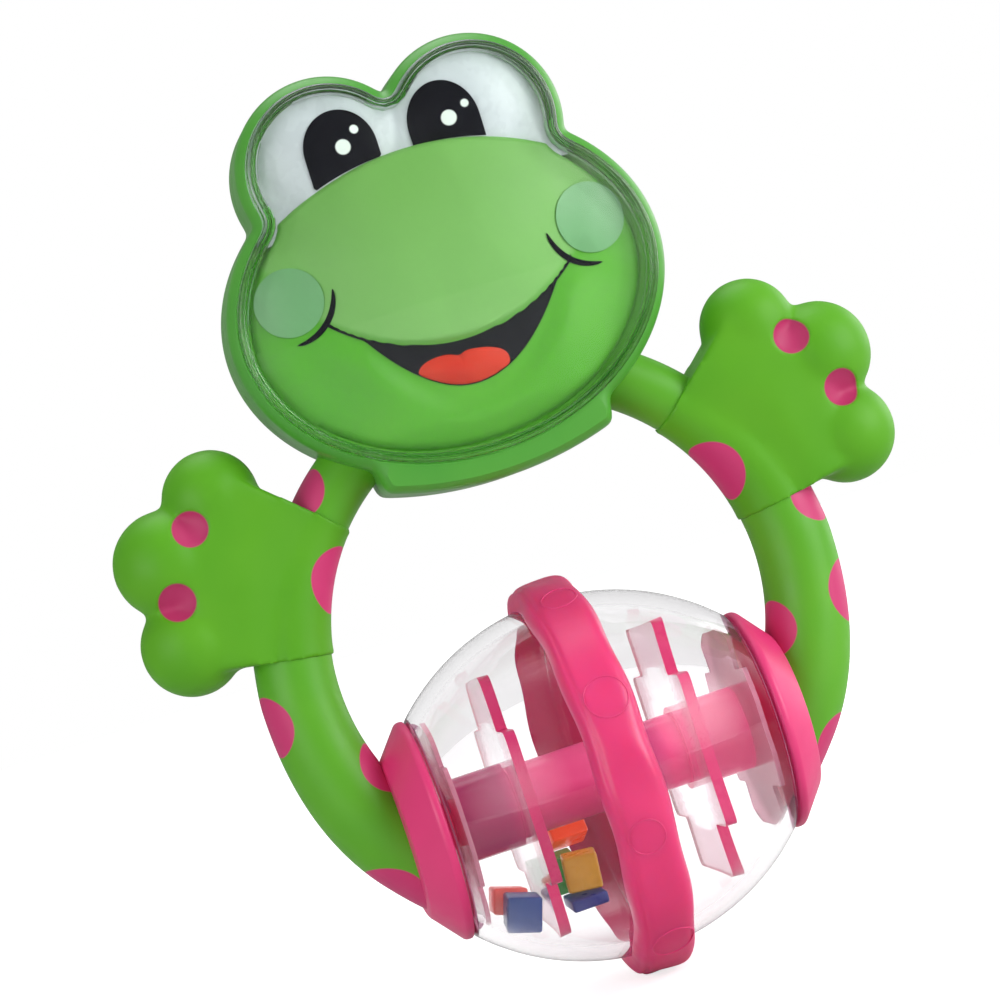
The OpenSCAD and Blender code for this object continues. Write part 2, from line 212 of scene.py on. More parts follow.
def everything(bm):
    return bm.verts[:] + bm.edges[:] + bm.faces[:]


def onlyVerts(items):
    return [item for item in items if isinstance(item, bmesh.types.BMVert)]


def closeHoles(bm):
    bmesh.ops.holes_fill(bm, edges=[edge for edge in bm.edges if edge.is_boundary], sides=0)


def relax(bm, verts, rounds):
    for _ in range(rounds):
        bmesh.ops.smooth_vert(bm, verts=verts, factor=0.5, use_axis_x=True, use_axis_y=True, use_axis_z=True)


def smoothStep(low, high, value):
    share = min(1, max(0, (value - low) / (high - low)))
    return share * share * (3 - 2 * share)


# Colours

greenLook = {"colour": (0.122, 0.435, 0.018), "shade": (0.100, 0.400, 0.015), "rough": 0.44, "ior": 1.42}
handLook = {"colour": (0.114, 0.405, 0.014), "shade": (0.096, 0.375, 0.012), "rough": 0.48, "ior": 1.34}
shellLook = {"colour": (0.090, 0.375, 0.042), "shade": (0.074, 0.345, 0.038), "rough": 0.34}
plateLook = {"colour": (0.104, 0.400, 0.026), "shade": (0.088, 0.372, 0.022), "rough": 0.40, "ior": 1.36}
muzzlePaint = ((0.180, 0.415, 0.100), (0.160, 0.390, 0.085))
paintedLightNearLip = (0.235, 0.500, 0.150)
pinkPaint = (0.630, 0.041, 0.174)
# Pink of the dimples, darker than the spots' pink: painted shade in the hollows
dimpleShadePink = (0.520, 0.042, 0.150)
paintEdge = 0.12

# Arms

armShape = {
    "ring": 36.5, "lowAngle": -57, "topAngle": 64, "collarFace": 34.2, "sides": 40, "rings": 90,
    "radii": [(-57, 7.7), (-40, 7.5), (0, 6.65), (9, 6.5), (20, 5.4), (42, 5.15), (70, 5.1)],
}
armSpots = {
    -1: [(-33.6, -3.0, 33.0, 4.9), (-49.3, -2.0, -2.5, 5.2), (-34.0, -3.2, -14.0, 4.8),
         (-38.0, -1.5, -35.0, 6.6)],
    1: [(47.6, -3.4, 6.4, 4.8), (48.6, -2.4, -10.5, 5.3), (35.0, -2.4, -13.3, 5.0),
        (39.4, -2.6, -34.8, 5.6)],
}


# A tube of radius 1 along the hand ring
def ringTube(bm, sides, lowAngle, topAngle, steps, capped=False):
    made = bmesh.ops.create_circle(bm, cap_ends=capped, segments=sides, radius=1)["verts"]
    bmesh.ops.translate(bm, vec=(armShape["ring"], 0, 0), verts=made)
    start, end = math.radians(lowAngle), math.radians(topAngle)
    bmesh.ops.rotate(bm, cent=(0, 0, 0), matrix=Matrix.Rotation(start, 3, (0, -1, 0)), verts=made)
    bmesh.ops.spin(bm, geom=made + bm.edges[:], cent=(0, 0, 0), axis=(0, -1, 0), angle=end - start,
                   steps=steps)


# Radius at an angle, eased between the stations of a list
def radiusAt(stations, angle):
    for (low, first), (high, second) in zip(stations, stations[1:]):
        if angle <= high:
            return first + (second - first) * smoothStep(low, high, angle)
    return stations[-1][1]


# Gives the tube its radii; inner is where its inner side lies
def thicken(bm, inner, stations):
    for vert in bm.verts:
        angle = math.atan2(vert.co.z, vert.co.x)
        thick = radiusAt(stations, math.degrees(angle))
        across = math.hypot(vert.co.x, vert.co.z) - armShape["ring"]
        far = inner + thick * (1 + across)
        vert.co = (far * math.cos(angle), thick * vert.co.y, far * math.sin(angle))


def buildArm(side, node):
    bm = bmesh.new()
    ringTube(bm, armShape["sides"], armShape["lowAngle"], armShape["topAngle"], armShape["rings"])
    thicken(bm, armShape["ring"], armShape["radii"])
    # The low end stops flat at the collar
    flatEnd = armShape["collarFace"]
    bmesh.ops.bisect_plane(bm, geom=everything(bm), plane_co=(flatEnd, 0, 0), plane_no=(1, 0, 0))
    middles = [(face, face.calc_center_median()) for face in bm.faces]
    low = [face for face, middle in middles if middle.x < flatEnd and middle.z < 0]
    bmesh.ops.delete(bm, geom=low, context="FACES")
    closeHoles(bm)
    bmesh.ops.scale(bm, vec=(side, 1, 1), verts=bm.verts)
    material = mouldedFinish(node + "Green", greenLook)
    paintOver(material, spotMask(material.node_tree, armSpots[side], paintEdge), pinkPaint)
    return makePiece(node + "_tapered", bm, node, "frame", material)


buildArm(-1, "arm_left")
buildArm(1, "arm_right")
print("arms made")

# Hands

handShape = {
    "lowAngle": 9.3, "highAngle": 42, "inner": 36.1, "sides": 48, "rings": 40,
    "sleeve": [(0, 7.05), (17, 6.9), (42, 5.75), (60, 5.7)],
    # Angle, distance from the ring's middle, radius and tallness of the balls that the palm spans
    "palm": [(4, 47, 6.2, 1), (15, 47.5, 6.4, 1), (26, 47.5, 6.2, 1), (38, 46.5, 5.8, 1), (47, 46, 5.7, 1),
             (6, 51, 6.9, 1), (47, 51, 6.3, 1), (26, 52, 7.5, 1),
             (15, 55, 5.5, 1.25), (26.3, 61.5, 4.8, 1.5), (37.6, 58, 4.8, 1.45)],
    # x, z and radius
    "toes": [(47.05, 36.25, 8.1), (57.1, 28.2, 9.0), (57.35, 14.3, 8.5)], "toeFlat": 0.92,
    "dimples": [(52.2, 32.4, 3.0), (57.8, 21.7, 3.1)],
    "dimpleDepth": 1.1, "dimpleFront": -7.5, "dimpleSquash": 0.25,
    # The sleeve's ends stay crisp over this width, as far out as this
    "crispEnd": 0.9, "crispOut": 49, "voxel": 0.4, "relax": 24, "ballDetail": 4, "sharp": 60,
}
sleeveSpots = {-1: (-31.8, -2.6, 17.2, 5.6), 1: (33.6, -3.0, 14.8, 5.6)}


def addBall(bm, x, z, radius, flat):
    spot = Matrix.Translation((x, 0, z)) @ Matrix.Diagonal((1, flat, 1, 1))
    bmesh.ops.create_icosphere(bm, subdivisions=handShape["ballDetail"], radius=radius, matrix=spot)


# Skin over balls, cut off at the sleeve's ends
def palmMesh(name):
    bm = bmesh.new()
    for degrees, far, radius, tall in handShape["palm"]:
        angle = math.radians(degrees)
        addBall(bm, far * math.cos(angle), far * math.sin(angle), radius, tall)
    hull = bmesh.ops.convex_hull(bm, input=bm.verts[:])
    bmesh.ops.delete(bm, geom=list(set(onlyVerts(hull["geom_interior"]))), context="VERTS")
    for degrees, way in ((handShape["lowAngle"], -1), (handShape["highAngle"], 1)):
        angle = math.radians(degrees)
        bmesh.ops.bisect_plane(bm, geom=everything(bm), plane_co=(0, 0, 0),
                               plane_no=(-way * math.sin(angle), 0, way * math.cos(angle)), clear_outer=True)
        closeHoles(bm)
    palm = bpy.data.meshes.new(name)
    bm.to_mesh(palm)
    bm.free()
    return palm


# One skin over sleeve, palm and toes
def handMesh(node):
    bm = bmesh.new()
    ringTube(bm, handShape["sides"], handShape["lowAngle"], handShape["highAngle"], handShape["rings"], True)
    closeHoles(bm)
    thicken(bm, handShape["inner"], handShape["sleeve"])
    bm.from_mesh(palmMesh(node + "Palm"))
    for x, z, radius in handShape["toes"]:
        addBall(bm, x, z, radius, handShape["toeFlat"])
    bmesh.ops.scale(bm, vec=(mm, mm, mm), verts=bm.verts)
    bmesh.ops.recalc_face_normals(bm, faces=bm.faces)
    block = bpy.data.meshes.new(node + "Block")
    bm.to_mesh(block)
    bm.free()
    draft = bpy.data.objects.new(node + "Draft", block)
    scene.collection.objects.link(draft)
    skin = draft.modifiers.new("Skin", "REMESH")
    skin.mode = "VOXEL"
    skin.voxel_size = handShape["voxel"] * mm
    fused = bpy.data.meshes.new_from_object(draft.evaluated_get(bpy.context.evaluated_depsgraph_get()))
    bpy.data.objects.remove(draft)
    return fused


def buildHand(side, node):
    bm = bmesh.new()
    bm.from_mesh(handMesh(node))
    bmesh.ops.scale(bm, vec=(1 / mm, 1 / mm, 1 / mm), verts=bm.verts)
    loose = []
    for vert in bm.verts:
        degrees = math.degrees(math.atan2(vert.co.z, vert.co.x))
        far = math.hypot(vert.co.x, vert.co.z)
        turn = min(abs(degrees - handShape["lowAngle"]), abs(degrees - handShape["highAngle"]))
        if math.radians(turn) * far > handShape["crispEnd"] or far > handShape["crispOut"]:
            loose.append(vert)
    relax(bm, loose, handShape["relax"])
    for vert in bm.verts:
        for x, z, radius in handShape["dimples"]:
            share = math.hypot(vert.co.x - x, vert.co.z - z) / radius
            if share < 1 and vert.co.y < 0:
                vert.co.y += handShape["dimpleDepth"] * math.sqrt(1 - share * share)
    bmesh.ops.scale(bm, vec=(side, 1, 1), verts=bm.verts)
    material = mouldedFinish(node + "Rubber", handLook)
    tree = material.node_tree
    paintOver(material, spotMask(tree, [sleeveSpots[side]], paintEdge), pinkPaint)
    # Painted shade: the dimples get a darker pink than the spots
    dimples = [(side * x, handShape["dimpleFront"], z, radius) for x, z, radius in handShape["dimples"]]
    paintOver(material, spotMask(tree, dimples, paintEdge, handShape["dimpleSquash"]), dimpleShadePink)
    return makePiece(node + "_soft", bm, node, "frame", material, handShape["sharp"])


buildHand(-1, "hand_left")
buildHand(1, "hand_right")
print("hands made")

# Head: every ring of the head lies on rays from one point of the face

headShape = {
    "star": 66, "points": 480, "round": 5, "shift": -0.5,
    "cheekHalfWidth": 36.8, "cheekHalfHeight": 28.8, "cheekMid": 56.2,
    "eyeRadius": 15.4, "eyeSide": 12.3, "eyeMid": 81.1,
    "chinHalfWidth": 20, "chinLow": 24.7, "chinRadius": 62,
    "seam": 0.12, "tongueIn": 0.6, "tongueUp": 0.15,
    "frontDepth": 11, "frontRound": 3, "frontInsets": (0.15, 0.6, 1.3),
    # Inset from the face's outline and drop from the front
    "opening": [(1.5, 0.35), (1.6, 0.6), (1.6, 10)],
    "backDepth": 9, "backRound": 4, "backInsets": (0.15, 0.6, 1.3, 2.2, 3.0, 4.0, 4.8, 5.4),
}
ringStep = 1e-4  # a new ring starts this far in, then goes to its place
atPole = 1e-3


def rayExit(angle, midX, midZ, halfW, halfH):
    startX, startZ = -midX / halfW, (headShape["star"] - midZ) / halfH
    goX, goZ = math.cos(angle) / halfW, math.sin(angle) / halfH
    square = goX * goX + goZ * goZ
    half = startX * goX + startZ * goZ
    root = half * half - square * (startX * startX + startZ * startZ - 1)
    return (-half + math.sqrt(root)) / square if root > 0 else 0


def faceReach(angle):
    shift, eye = headShape["shift"], headShape["eyeRadius"]
    halfSizes = headShape["cheekHalfWidth"], headShape["cheekHalfHeight"]
    cheekReach = rayExit(angle, shift, headShape["cheekMid"], *halfSizes)
    eyeMids = [shift + side * headShape["eyeSide"] for side in (-1, 1)]
    return max(cheekReach, *(rayExit(angle, midX, headShape["eyeMid"], eye, eye) for midX in eyeMids))


def headReach(angle):
    radius = headShape["chinRadius"]
    chin = rayExit(angle, headShape["shift"], headShape["chinLow"] + radius, radius, radius)
    side = math.copysign(1, math.cos(angle))
    beside = (headShape["chinHalfWidth"] + side * headShape["shift"]) / max(abs(math.cos(angle)), tiny)
    return max(faceReach(angle), min(chin, beside)) if angle < 0 else faceReach(angle)


def outlineFace(bm, reach, depth):
    made = bmesh.ops.create_circle(bm, cap_ends=True, segments=headShape["points"], radius=1)["verts"]
    for vert in made:
        angle = math.atan2(vert.co.y, vert.co.x)
        far = reach(angle)
        vert.co = (far * math.cos(angle), -depth, headShape["star"] + far * math.sin(angle))
    relax(bm, made, headShape["round"])
    bm.normal_update()
    return made[0].link_faces[0]


# The same outline drawn in by a distance, as reach over angle
def drawnIn(reach, inset):
    bm = bmesh.new()
    face = outlineFace(bm, reach, 0)
    bmesh.ops.inset_region(bm, faces=[face], thickness=inset, use_even_offset=True, use_boundary=True)
    offsets = [(vert.co.x, vert.co.z - headShape["star"]) for vert in face.verts]
    polar = sorted((math.atan2(z, x), math.hypot(x, z)) for x, z in offsets)
    bm.free()
    turn = 2 * math.pi
    polar = [(polar[-1][0] - turn, polar[-1][1])] + polar + [(polar[0][0] + turn, polar[0][1])]

    def reachAt(angle):
        low, high = 0, len(polar) - 1
        while high - low > 1:
            middle = (low + high) // 2
            if polar[middle][0] <= angle:
                low = middle
            else:
                high = middle
        (firstAngle, first), (secondAngle, second) = polar[low], polar[high]
        return first + (second - first) * (angle - firstAngle) / max(secondAngle - firstAngle, tiny)

    return reachAt


# Draws the face in to a new ring; depth counts forward and may depend on the place
def ringTo(bm, face, reach, depth, share=1):
    bmesh.ops.inset_region(bm, faces=[face], thickness=ringStep, use_even_offset=True, use_boundary=True)
    for vert in face.verts:
        angle = math.atan2(vert.co.z - headShape["star"], vert.co.x)
        far = reach(angle) * share
        x, z = far * math.cos(angle), headShape["star"] + far * math.sin(angle)
        vert.co = (x, -(depth(x, z) if callable(depth) else depth), z)


def fillIn(bm, face, reach, depth, rings):
    for ring in range(1, rings):
        ringTo(bm, face, reach, depth, 1 - ring / rings)
    bmesh.ops.poke(bm, faces=[face])
    for vert in bm.verts:
        if abs(vert.co.x) < atPole and abs(vert.co.z - headShape["star"]) < atPole:
            vert.co.y = -depth(0, headShape["star"])


def sunkBy(depth, drop):
    return lambda x, z: depth(x, z) - drop


outermost = 0.001
headIn = {inset: drawnIn(headReach, inset) for inset in (outermost, 0.15, 0.6, 1.3, 2.2)}
faceInsets = (1.5, 1.6, 1.75, 2, 2.25, 2.4, 2.55, 2.7, 2.85, 3.05, 3.2, 3.4, 3.6, 4.1)
faceIn = {inset: drawnIn(faceReach, inset) for inset in faceInsets}


# Past the deepest true inset the rings keep its form, so that the chin's corners don't fold
def headRing(inset):
    deepest = max(headIn)
    return headIn[inset] if inset in headIn else lambda angle: headIn[deepest](angle) - (inset - deepest)


def roundedShell(bm, face, depth, rounding, sign, insets):
    ringTo(bm, face, headIn[outermost], sign * (depth - rounding))
    for inset in insets:
        rise = math.sqrt(rounding * rounding - max(rounding - inset, 0) ** 2)
        ringTo(bm, face, headRing(inset), sign * (depth - rounding + rise))


def buildHeadFront():
    bm = bmesh.new()
    face = outlineFace(bm, headReach, headShape["seam"])
    roundedShell(bm, face, headShape["frontDepth"], headShape["frontRound"], 1, headShape["frontInsets"])
    for inset, drop in headShape["opening"]:
        ringTo(bm, face, faceIn[inset], headShape["frontDepth"] - drop)
    bmesh.ops.delete(bm, geom=[face], context="FACES_ONLY")
    bmesh.ops.bridge_loops(bm, edges=[edge for edge in bm.edges if edge.is_boundary])
    material = mouldedFinish("headGreen", shellLook)
    return makePiece("head_front_shell", bm, "head_front", "frame", material)


def buildHeadBack():
    bm = bmesh.new()
    # A low tongue closes the seam to view
    face = outlineFace(bm, headIn[headShape["tongueIn"]], headShape["tongueUp"])
    face.normal_flip()
    ringTo(bm, face, headIn[headShape["tongueIn"]], -headShape["seam"])
    ringTo(bm, face, headIn[outermost], -headShape["seam"])
    roundedShell(bm, face, headShape["backDepth"], headShape["backRound"], -1, headShape["backInsets"])
    closeHoles(bm)
    material = mouldedFinish("backGreen", shellLook)
    return makePiece("head_back_shell", bm, "head_back", "frame", material)


buildHeadFront()
buildHeadBack()
print("head shells made")

# Clear window with its raised edge

windowShape = {
    "outline": 1.6, "foot": 8, "top": 17, "dome": 130, "middle": 62, "thick": 1.5, "rings": 26, "sharp": 50,
    # Inset and depth of each ring of the raised edge
    "ridge": [(1.6, 11.4), (1.75, 12.0), (2, 12.35), (2.25, 12.4), (2.4, 12.1), (2.55, 11.95), (2.7, 12.1),
              (2.85, 12.4), (3.05, 12.3), (3.2, 12)],
    "ridgeEnd": 3.2, "pane": 3.4, "paneInside": 3.6,
}
windowLook = {
    "colour": (0.95, 0.99, 0.95), "shade": (0.93, 0.98, 0.93), "rough": 0.035, "spread": 0.015, "clear": 1,
    "ior": 1.23, "skin": 0.015, "passes": (0.94, 0.98, 0.94),
}
ridgeLook = {
    "colour": (0.90, 0.98, 0.90), "shade": (0.86, 0.95, 0.86), "rough": 0.08, "clear": 1, "ior": 1.46,
    "skin": 0.06, "passes": (0.9, 0.96, 0.9),
}


# Depth of a shallow dome at a place on the face
def domeDepth(look, x, z):
    return look["top"] - (x * x + (z - look["middle"]) ** 2) / (2 * look["dome"])


def windowDepth(x, z):
    return domeDepth(windowShape, x, z)


def buildWindow():
    bm = bmesh.new()
    rings, pane, inside = windowShape["rings"], faceIn[windowShape["pane"]], faceIn[windowShape["paneInside"]]
    back = outlineFace(bm, faceIn[windowShape["outline"]], windowShape["foot"])
    grown = bmesh.ops.extrude_face_region(bm, geom=[back])["geom"]
    front = [item for item in grown if isinstance(item, bmesh.types.BMFace)][0]
    back.normal_flip()
    for inset, depth in windowShape["ridge"]:
        ringTo(bm, front, faceIn[inset], depth)
    ringTo(bm, front, pane, windowDepth)
    fillIn(bm, front, pane, windowDepth, rings)
    ringTo(bm, back, pane, windowShape["foot"])
    ringTo(bm, back, inside, sunkBy(windowDepth, windowShape["thick"]))
    fillIn(bm, back, inside, sunkBy(windowDepth, windowShape["thick"]), rings)
    for item in bm.faces:
        middle = item.calc_center_median()
        x, z = middle.x, middle.z - headShape["star"]
        onRidge = math.hypot(x, z) > faceIn[windowShape["ridgeEnd"]](math.atan2(z, x))
        item.material_index = 1 if onRidge else 0
    material = clearFinish("windowClear", windowLook)
    piece = makePiece("face_window_pane", bm, "face_window", "frame", material,
                      windowShape["sharp"])
    piece.data.materials.append(clearFinish("ridgeClear", ridgeLook))
    return piece


buildWindow()
print("window made")

# Face in relief

faceShape = {
    "top": 11.5, "dome": 130, "middle": 62, "browX": -0.8, "browMid": 30.3, "browRadius": 50.2,
    "lipX": 0.5, "lipMid": 79.0, "lipRadius": 30.5, "lipGap": 0.3,
    "jawX": -0.3, "jawLow": 40.7, "jawCurves": (0.048, 0.040),
    "muzzleMid": 66, "muzzleTop": 15, "muzzleRadius": 50, "muzzleBlend": 0.6,
    # The jaw bulges below the mouth, between these widths and above these heights
    "jawBulge": 1.5, "bulgeBelow": (0.2, 7), "bulgeWidths": (26, 12), "bulgeHeights": (31, 37),
    # The lip is a step in the middle and a slope at the sides
    "lipStep": 0.35, "lipSlope": 9, "stepWidths": (25, 18),
    # Rings of the plate's edge: inset and drop
    "outline": 1.6, "foot": 6.25, "ledge": 3.6, "ledgeOut": 0.3, "ledgeDepth": 6.4, "inside": 4.1,
    "edge": [(0, 1.2), (0.15, 0.5), (0.6, 0.1)], "rings": 64, "sharp": 60,
    # The muzzle is painted a paler green than the jaw, and lighter still towards the lip and darker under the
    # brow, which is painted light
    "cloud": 40, "paintEdge": 0.7, "paintedLightFrom": 74, "paintedLightTo": 50, "paintedLightShare": 0.9,
}


def sheetDepth(x, z):
    return domeDepth(faceShape, x, z)


def ballDepth(look, top, radius, spread):
    return look[top] - look[radius] + math.sqrt(max(look[radius] ** 2 - spread, 1))


# The larger of two depths, with a soft change
def softLarger(first, second, soft):
    return 0.5 * (first + second + math.sqrt((first - second) ** 2 + soft))


def lipLine(x):
    return faceShape["lipMid"] - math.sqrt(max(faceShape["lipRadius"] ** 2 - (x - faceShape["lipX"]) ** 2, 1))


def underLip(x):
    return lipLine(x) - faceShape["lipGap"]


def jawLine(x):
    left, right = faceShape["jawCurves"]
    curve = left if x < faceShape["jawX"] else right
    return min(faceShape["jawLow"] + curve * (x - faceShape["jawX"]) ** 2, underLip(x))


def plateDepth(x, z):
    sheet = sheetDepth(x, z)
    spread = x * x + (z - faceShape["muzzleMid"]) ** 2
    muzzle = ballDepth(faceShape, "muzzleTop", "muzzleRadius", spread)
    above = softLarger(sheet, muzzle, faceShape["muzzleBlend"])
    bulge = faceShape["jawBulge"] * smoothStep(*faceShape["bulgeBelow"], jawLine(x) - z)
    bulge *= smoothStep(*faceShape["bulgeWidths"], abs(x)) * smoothStep(*faceShape["bulgeHeights"], z)
    under = sheet + bulge
    overLip, step = z - lipLine(x), smoothStep(*faceShape["stepWidths"], abs(x))
    lip = smoothStep(-faceShape["lipStep"], faceShape["lipStep"], overLip) * step
    lip += smoothStep(-faceShape["lipSlope"], faceShape["lipSlope"], overLip) * (1 - step)
    return under + (above - under) * lip


def plateReach(angle, inset=0):
    radius = faceShape["browRadius"]
    brow = rayExit(angle, faceShape["browX"], faceShape["browMid"], radius, radius)
    return min(faceIn[faceShape["inside"]](angle), brow) - inset


def ledgeReach(angle):
    return min(faceIn[faceShape["ledge"]](angle), plateReach(angle) + faceShape["ledgeOut"])


def buildFacePlate():
    bm = bmesh.new()
    face = outlineFace(bm, faceIn[faceShape["outline"]], faceShape["foot"])
    ringTo(bm, face, ledgeReach, faceShape["ledgeDepth"])
    for inset, drop in faceShape["edge"]:
        ringTo(bm, face, lambda angle: plateReach(angle, inset), sunkBy(plateDepth, drop))
    fillIn(bm, face, lambda angle: plateReach(angle, inset), plateDepth, faceShape["rings"])
    closeHoles(bm)
    material = mouldedFinish("faceGreen", plateLook)
    tree = material.node_tree
    field = noiseField(tree, objectPlace(tree), faceShape["cloud"], 2)
    cloud = remap(tree, field, *plainFinish["cloudBand"], 0, 1)
    lipRound = (faceShape["lipX"], 0, faceShape["lipMid"], faceShape["lipRadius"])
    above = spotMask(tree, [lipRound], faceShape["paintEdge"], 0)
    height = splitPlace(tree, objectPlace(tree))["Z"]
    # Painted light: the muzzle turns lighter from under the brow towards the lip
    start, end = faceShape["paintedLightFrom"] * mm, faceShape["paintedLightTo"] * mm
    paintedLight = remap(tree, height, start, end, 0, faceShape["paintedLightShare"])
    paintOver(material, above, mixColours(tree, paintedLight, mixColours(tree, cloud, *muzzlePaint), paintedLightNearLip))
    return makePiece("face_plate_relief", bm, "face_plate", "frame", material,
                     faceShape["sharp"])


buildFacePlate()

# Eyes

eyeShape = {
    "x": 10.8, "z": 83, "radius": 24, "top": 11.4, "drop": 0.5, "blend": 0.15, "cut": 72, "foot": 6.6,
    # Rings of the panel's edge: inset and drop
    "edge": [(2.85, 0.8), (3.2, 0.1)], "rings": 40, "sharp": 60,
}
pearlLook = {
    "colour": (0.66, 0.67, 0.76), "shade": (0.54, 0.555, 0.63), "rough": 0.28, "cloud": 45, "skin": 0.05,
}
blackLook = {
    "colour": (0.006, 0.006, 0.010), "shade": (0.010, 0.009, 0.014), "rough": 0.25, "skin": 0.04, "ior": 1.12,
}
pupilShape = {
    "places": {-1: (-10.2, 83.3), 1: (7.3, 82.6)}, "halfWidth": {-1: 6.1, 1: 5.9}, "rise": {-1: 6.7, 1: 7.1},
    "lift": 0.22, "crown": 0.1, "browGap": 0.1,
}
glints = {
    "colour": (0.86, 0.88, 0.9), "front": -11.3, "edge": 0.1,
    "places": [(-9.85, 83.6, 1.3), (-7.2, 85.9, 0.73), (8.17, 83.1, 1.3), (11.3, 84.6, 0.73)],
}
patchShape = {"rings": 14, "points": 96, "root": 0.3, "step": 1e-3, "sharp": 60}


def eyeDepth(x, z):
    spread = (abs(x) - eyeShape["x"]) ** 2 + (z - eyeShape["z"]) ** 2
    sheet = sheetDepth(x, z) - eyeShape["drop"]
    return softLarger(sheet, ballDepth(eyeShape, "top", "radius", spread), eyeShape["blend"])


def buildEyePanel():
    bm = bmesh.new()
    face = outlineFace(bm, faceIn[eyeShape["edge"][0][0]], eyeShape["foot"])
    for inset, drop in eyeShape["edge"]:
        ringTo(bm, face, faceIn[inset], sunkBy(eyeDepth, drop))
    fillIn(bm, face, faceIn[inset], eyeDepth, eyeShape["rings"])
    closeHoles(bm)
    bmesh.ops.bisect_plane(bm, geom=everything(bm), plane_co=(0, 0, eyeShape["cut"]), plane_no=(0, 0, 1),
                           clear_inner=True)
    closeHoles(bm)
    material = mouldedFinish("pearlWhite", pearlLook)
    return makePiece("eye_panel_pearl", bm, "eye_panel", "frame", material, eyeShape["sharp"])


# A small disc over the face: its rim follows reach about its middle, lifted over what lies under it
def buildPatch(name, node, material, middle, reach, under, lift, crown):
    bm = bmesh.new()
    midX, midZ = middle
    made = bmesh.ops.create_circle(bm, cap_ends=True, segments=patchShape["points"], radius=1)["verts"]
    face = made[0].link_faces[0]
    angles = {vert: math.atan2(vert.co.y, vert.co.x) for vert in made}
    shares = [1 - ring / patchShape["rings"] for ring in range(patchShape["rings"])]
    for number, share in enumerate([1] + shares):
        if number:
            bm.normal_update()
            bmesh.ops.inset_region(bm, faces=[face], thickness=patchShape["step"], use_even_offset=True,
                                   use_boundary=True)
            angles = {vert: math.atan2(vert.co.z - midZ, vert.co.x - midX) for vert in face.verts}
        for vert, angle in angles.items():
            far = reach(angle) * share
            x, z = midX + far * math.cos(angle), midZ + far * math.sin(angle)
            up = lift + crown * (1 - share * share) if number else -patchShape["root"]
            vert.co = (x, -(under(x, z) + up), z)
    bmesh.ops.poke(bm, faces=[face])
    closeHoles(bm)
    return makePiece(name, bm, node, "frame", material, patchShape["sharp"])


def pupilReach(side):
    def reach(angle):
        goX, goZ = math.cos(angle), math.sin(angle)
        wide, rise = pupilShape["halfWidth"][side], pupilShape["rise"][side]
        if goZ >= 0:
            far = 1 / math.hypot(goX / wide, goZ / rise)
        else:
            far = wide / max(abs(goX), tiny)
        # stops at the brow
        midX, midZ = pupilShape["places"][side]
        startX, startZ = midX - faceShape["browX"], midZ - faceShape["browMid"]
        half = startX * goX + startZ * goZ
        browRadius = faceShape["browRadius"] + pupilShape["browGap"]
        root = half * half - (startX ** 2 + startZ ** 2 - browRadius ** 2)
        if root > 0 and half < 0:
            far = min(far, -half - math.sqrt(root))
        return far
    return reach


def buildPupil(side, node):
    material = mouldedFinish(node + "Black", blackLook)
    own = [(x, glints["front"], z, radius) for x, z, radius in glints["places"] if x * side > 0]
    paintOver(material, spotMask(material.node_tree, own, glints["edge"]), glints["colour"])
    buildPatch(node + "_disc", node, material, pupilShape["places"][side], pupilReach(side),
               eyeDepth, pupilShape["lift"], pupilShape["crown"])


buildEyePanel()
buildPupil(-1, "pupil_left")
buildPupil(1, "pupil_right")
print("eyes made")

# Mouth, tongue and cheeks

mouthShape = {
    "from": -21.1, "to": 20.6, "lift": 0.16, "thick": 0.4, "columns": 120, "rows": 8, "line": 0.7,
    "overlap": 0.12, "crease": 1.0, "creaseTip": 0.02, "creaseLean": 0.4, "creaseColumns": 40,
    "creaseRows": 3, "sharp": 60,
}
tongueShape = {
    "middle": (-1.9, 43.6), "halfWidth": 7.6, "rise": 2.9, "tilt": -6, "square": 2.6,
    "dent": 0.22, "dentWidth": 0.4, "dentAngle": 1.7, "lift": 0.25, "crown": 0.9,
    "jawGap": 0.15, "shrink": 0.97, "tries": 12,
}
redLook = {
    "colour": (0.64, 0.030, 0.015), "shade": (0.70, 0.045, 0.024), "rough": 0.24, "cloud": 160, "skin": 0.06,
    "ior": 1.25,
}
cheekLook = {"colour": (0.170, 0.395, 0.182), "shade": (0.148, 0.360, 0.158), "rough": 0.36, "skin": 0.08}
# Middle and radius of each button; middle, radius and end angles of the crease beside it
cheeks = {-1: (-25.8, 62.3, 5.6), 1: (25.6, 61.0, 5.85)}
creases = {-1: (-26.6, 62.5, 7.6, -2, -89), 1: (25.9, 61.0, 8.0, 184, 266)}
cheekShape = {"lift": 0.3, "crown": 0.5}


def addStrip(bm, columns, rows, place):
    made = bmesh.ops.create_grid(bm, x_segments=columns, y_segments=rows, size=1)["verts"]
    for vert in made:
        vert.co = place(vert.co.x, vert.co.y)


def mouthFloor(x, z):
    return plateDepth(x, min(z, underLip(x)))


def mouthPlace(along, across):
    x = mouthShape["from"] + (mouthShape["to"] - mouthShape["from"]) * (along + 1) / 2
    high = lipLine(x) + mouthShape["overlap"]
    low = min(jawLine(x), lipLine(x) - mouthShape["line"])
    z = low + (high - low) * (across + 1) / 2
    return (x, -(mouthFloor(x, z) + mouthShape["lift"]), z)


def creasePlace(side):
    def place(along, across):
        midX, midZ, radius, start, end = creases[side]
        angle = math.radians(start + (end - start) * (along + 1) / 2)
        wide = mouthShape["crease"] * math.sqrt(max(1 - along * along, mouthShape["creaseTip"])) / 2
        far = radius - mouthShape["creaseLean"] * along + wide * across
        x, z = midX + far * math.cos(angle), midZ + far * math.sin(angle)
        return (x, -(plateDepth(x, z) + mouthShape["lift"]), z)
    return place


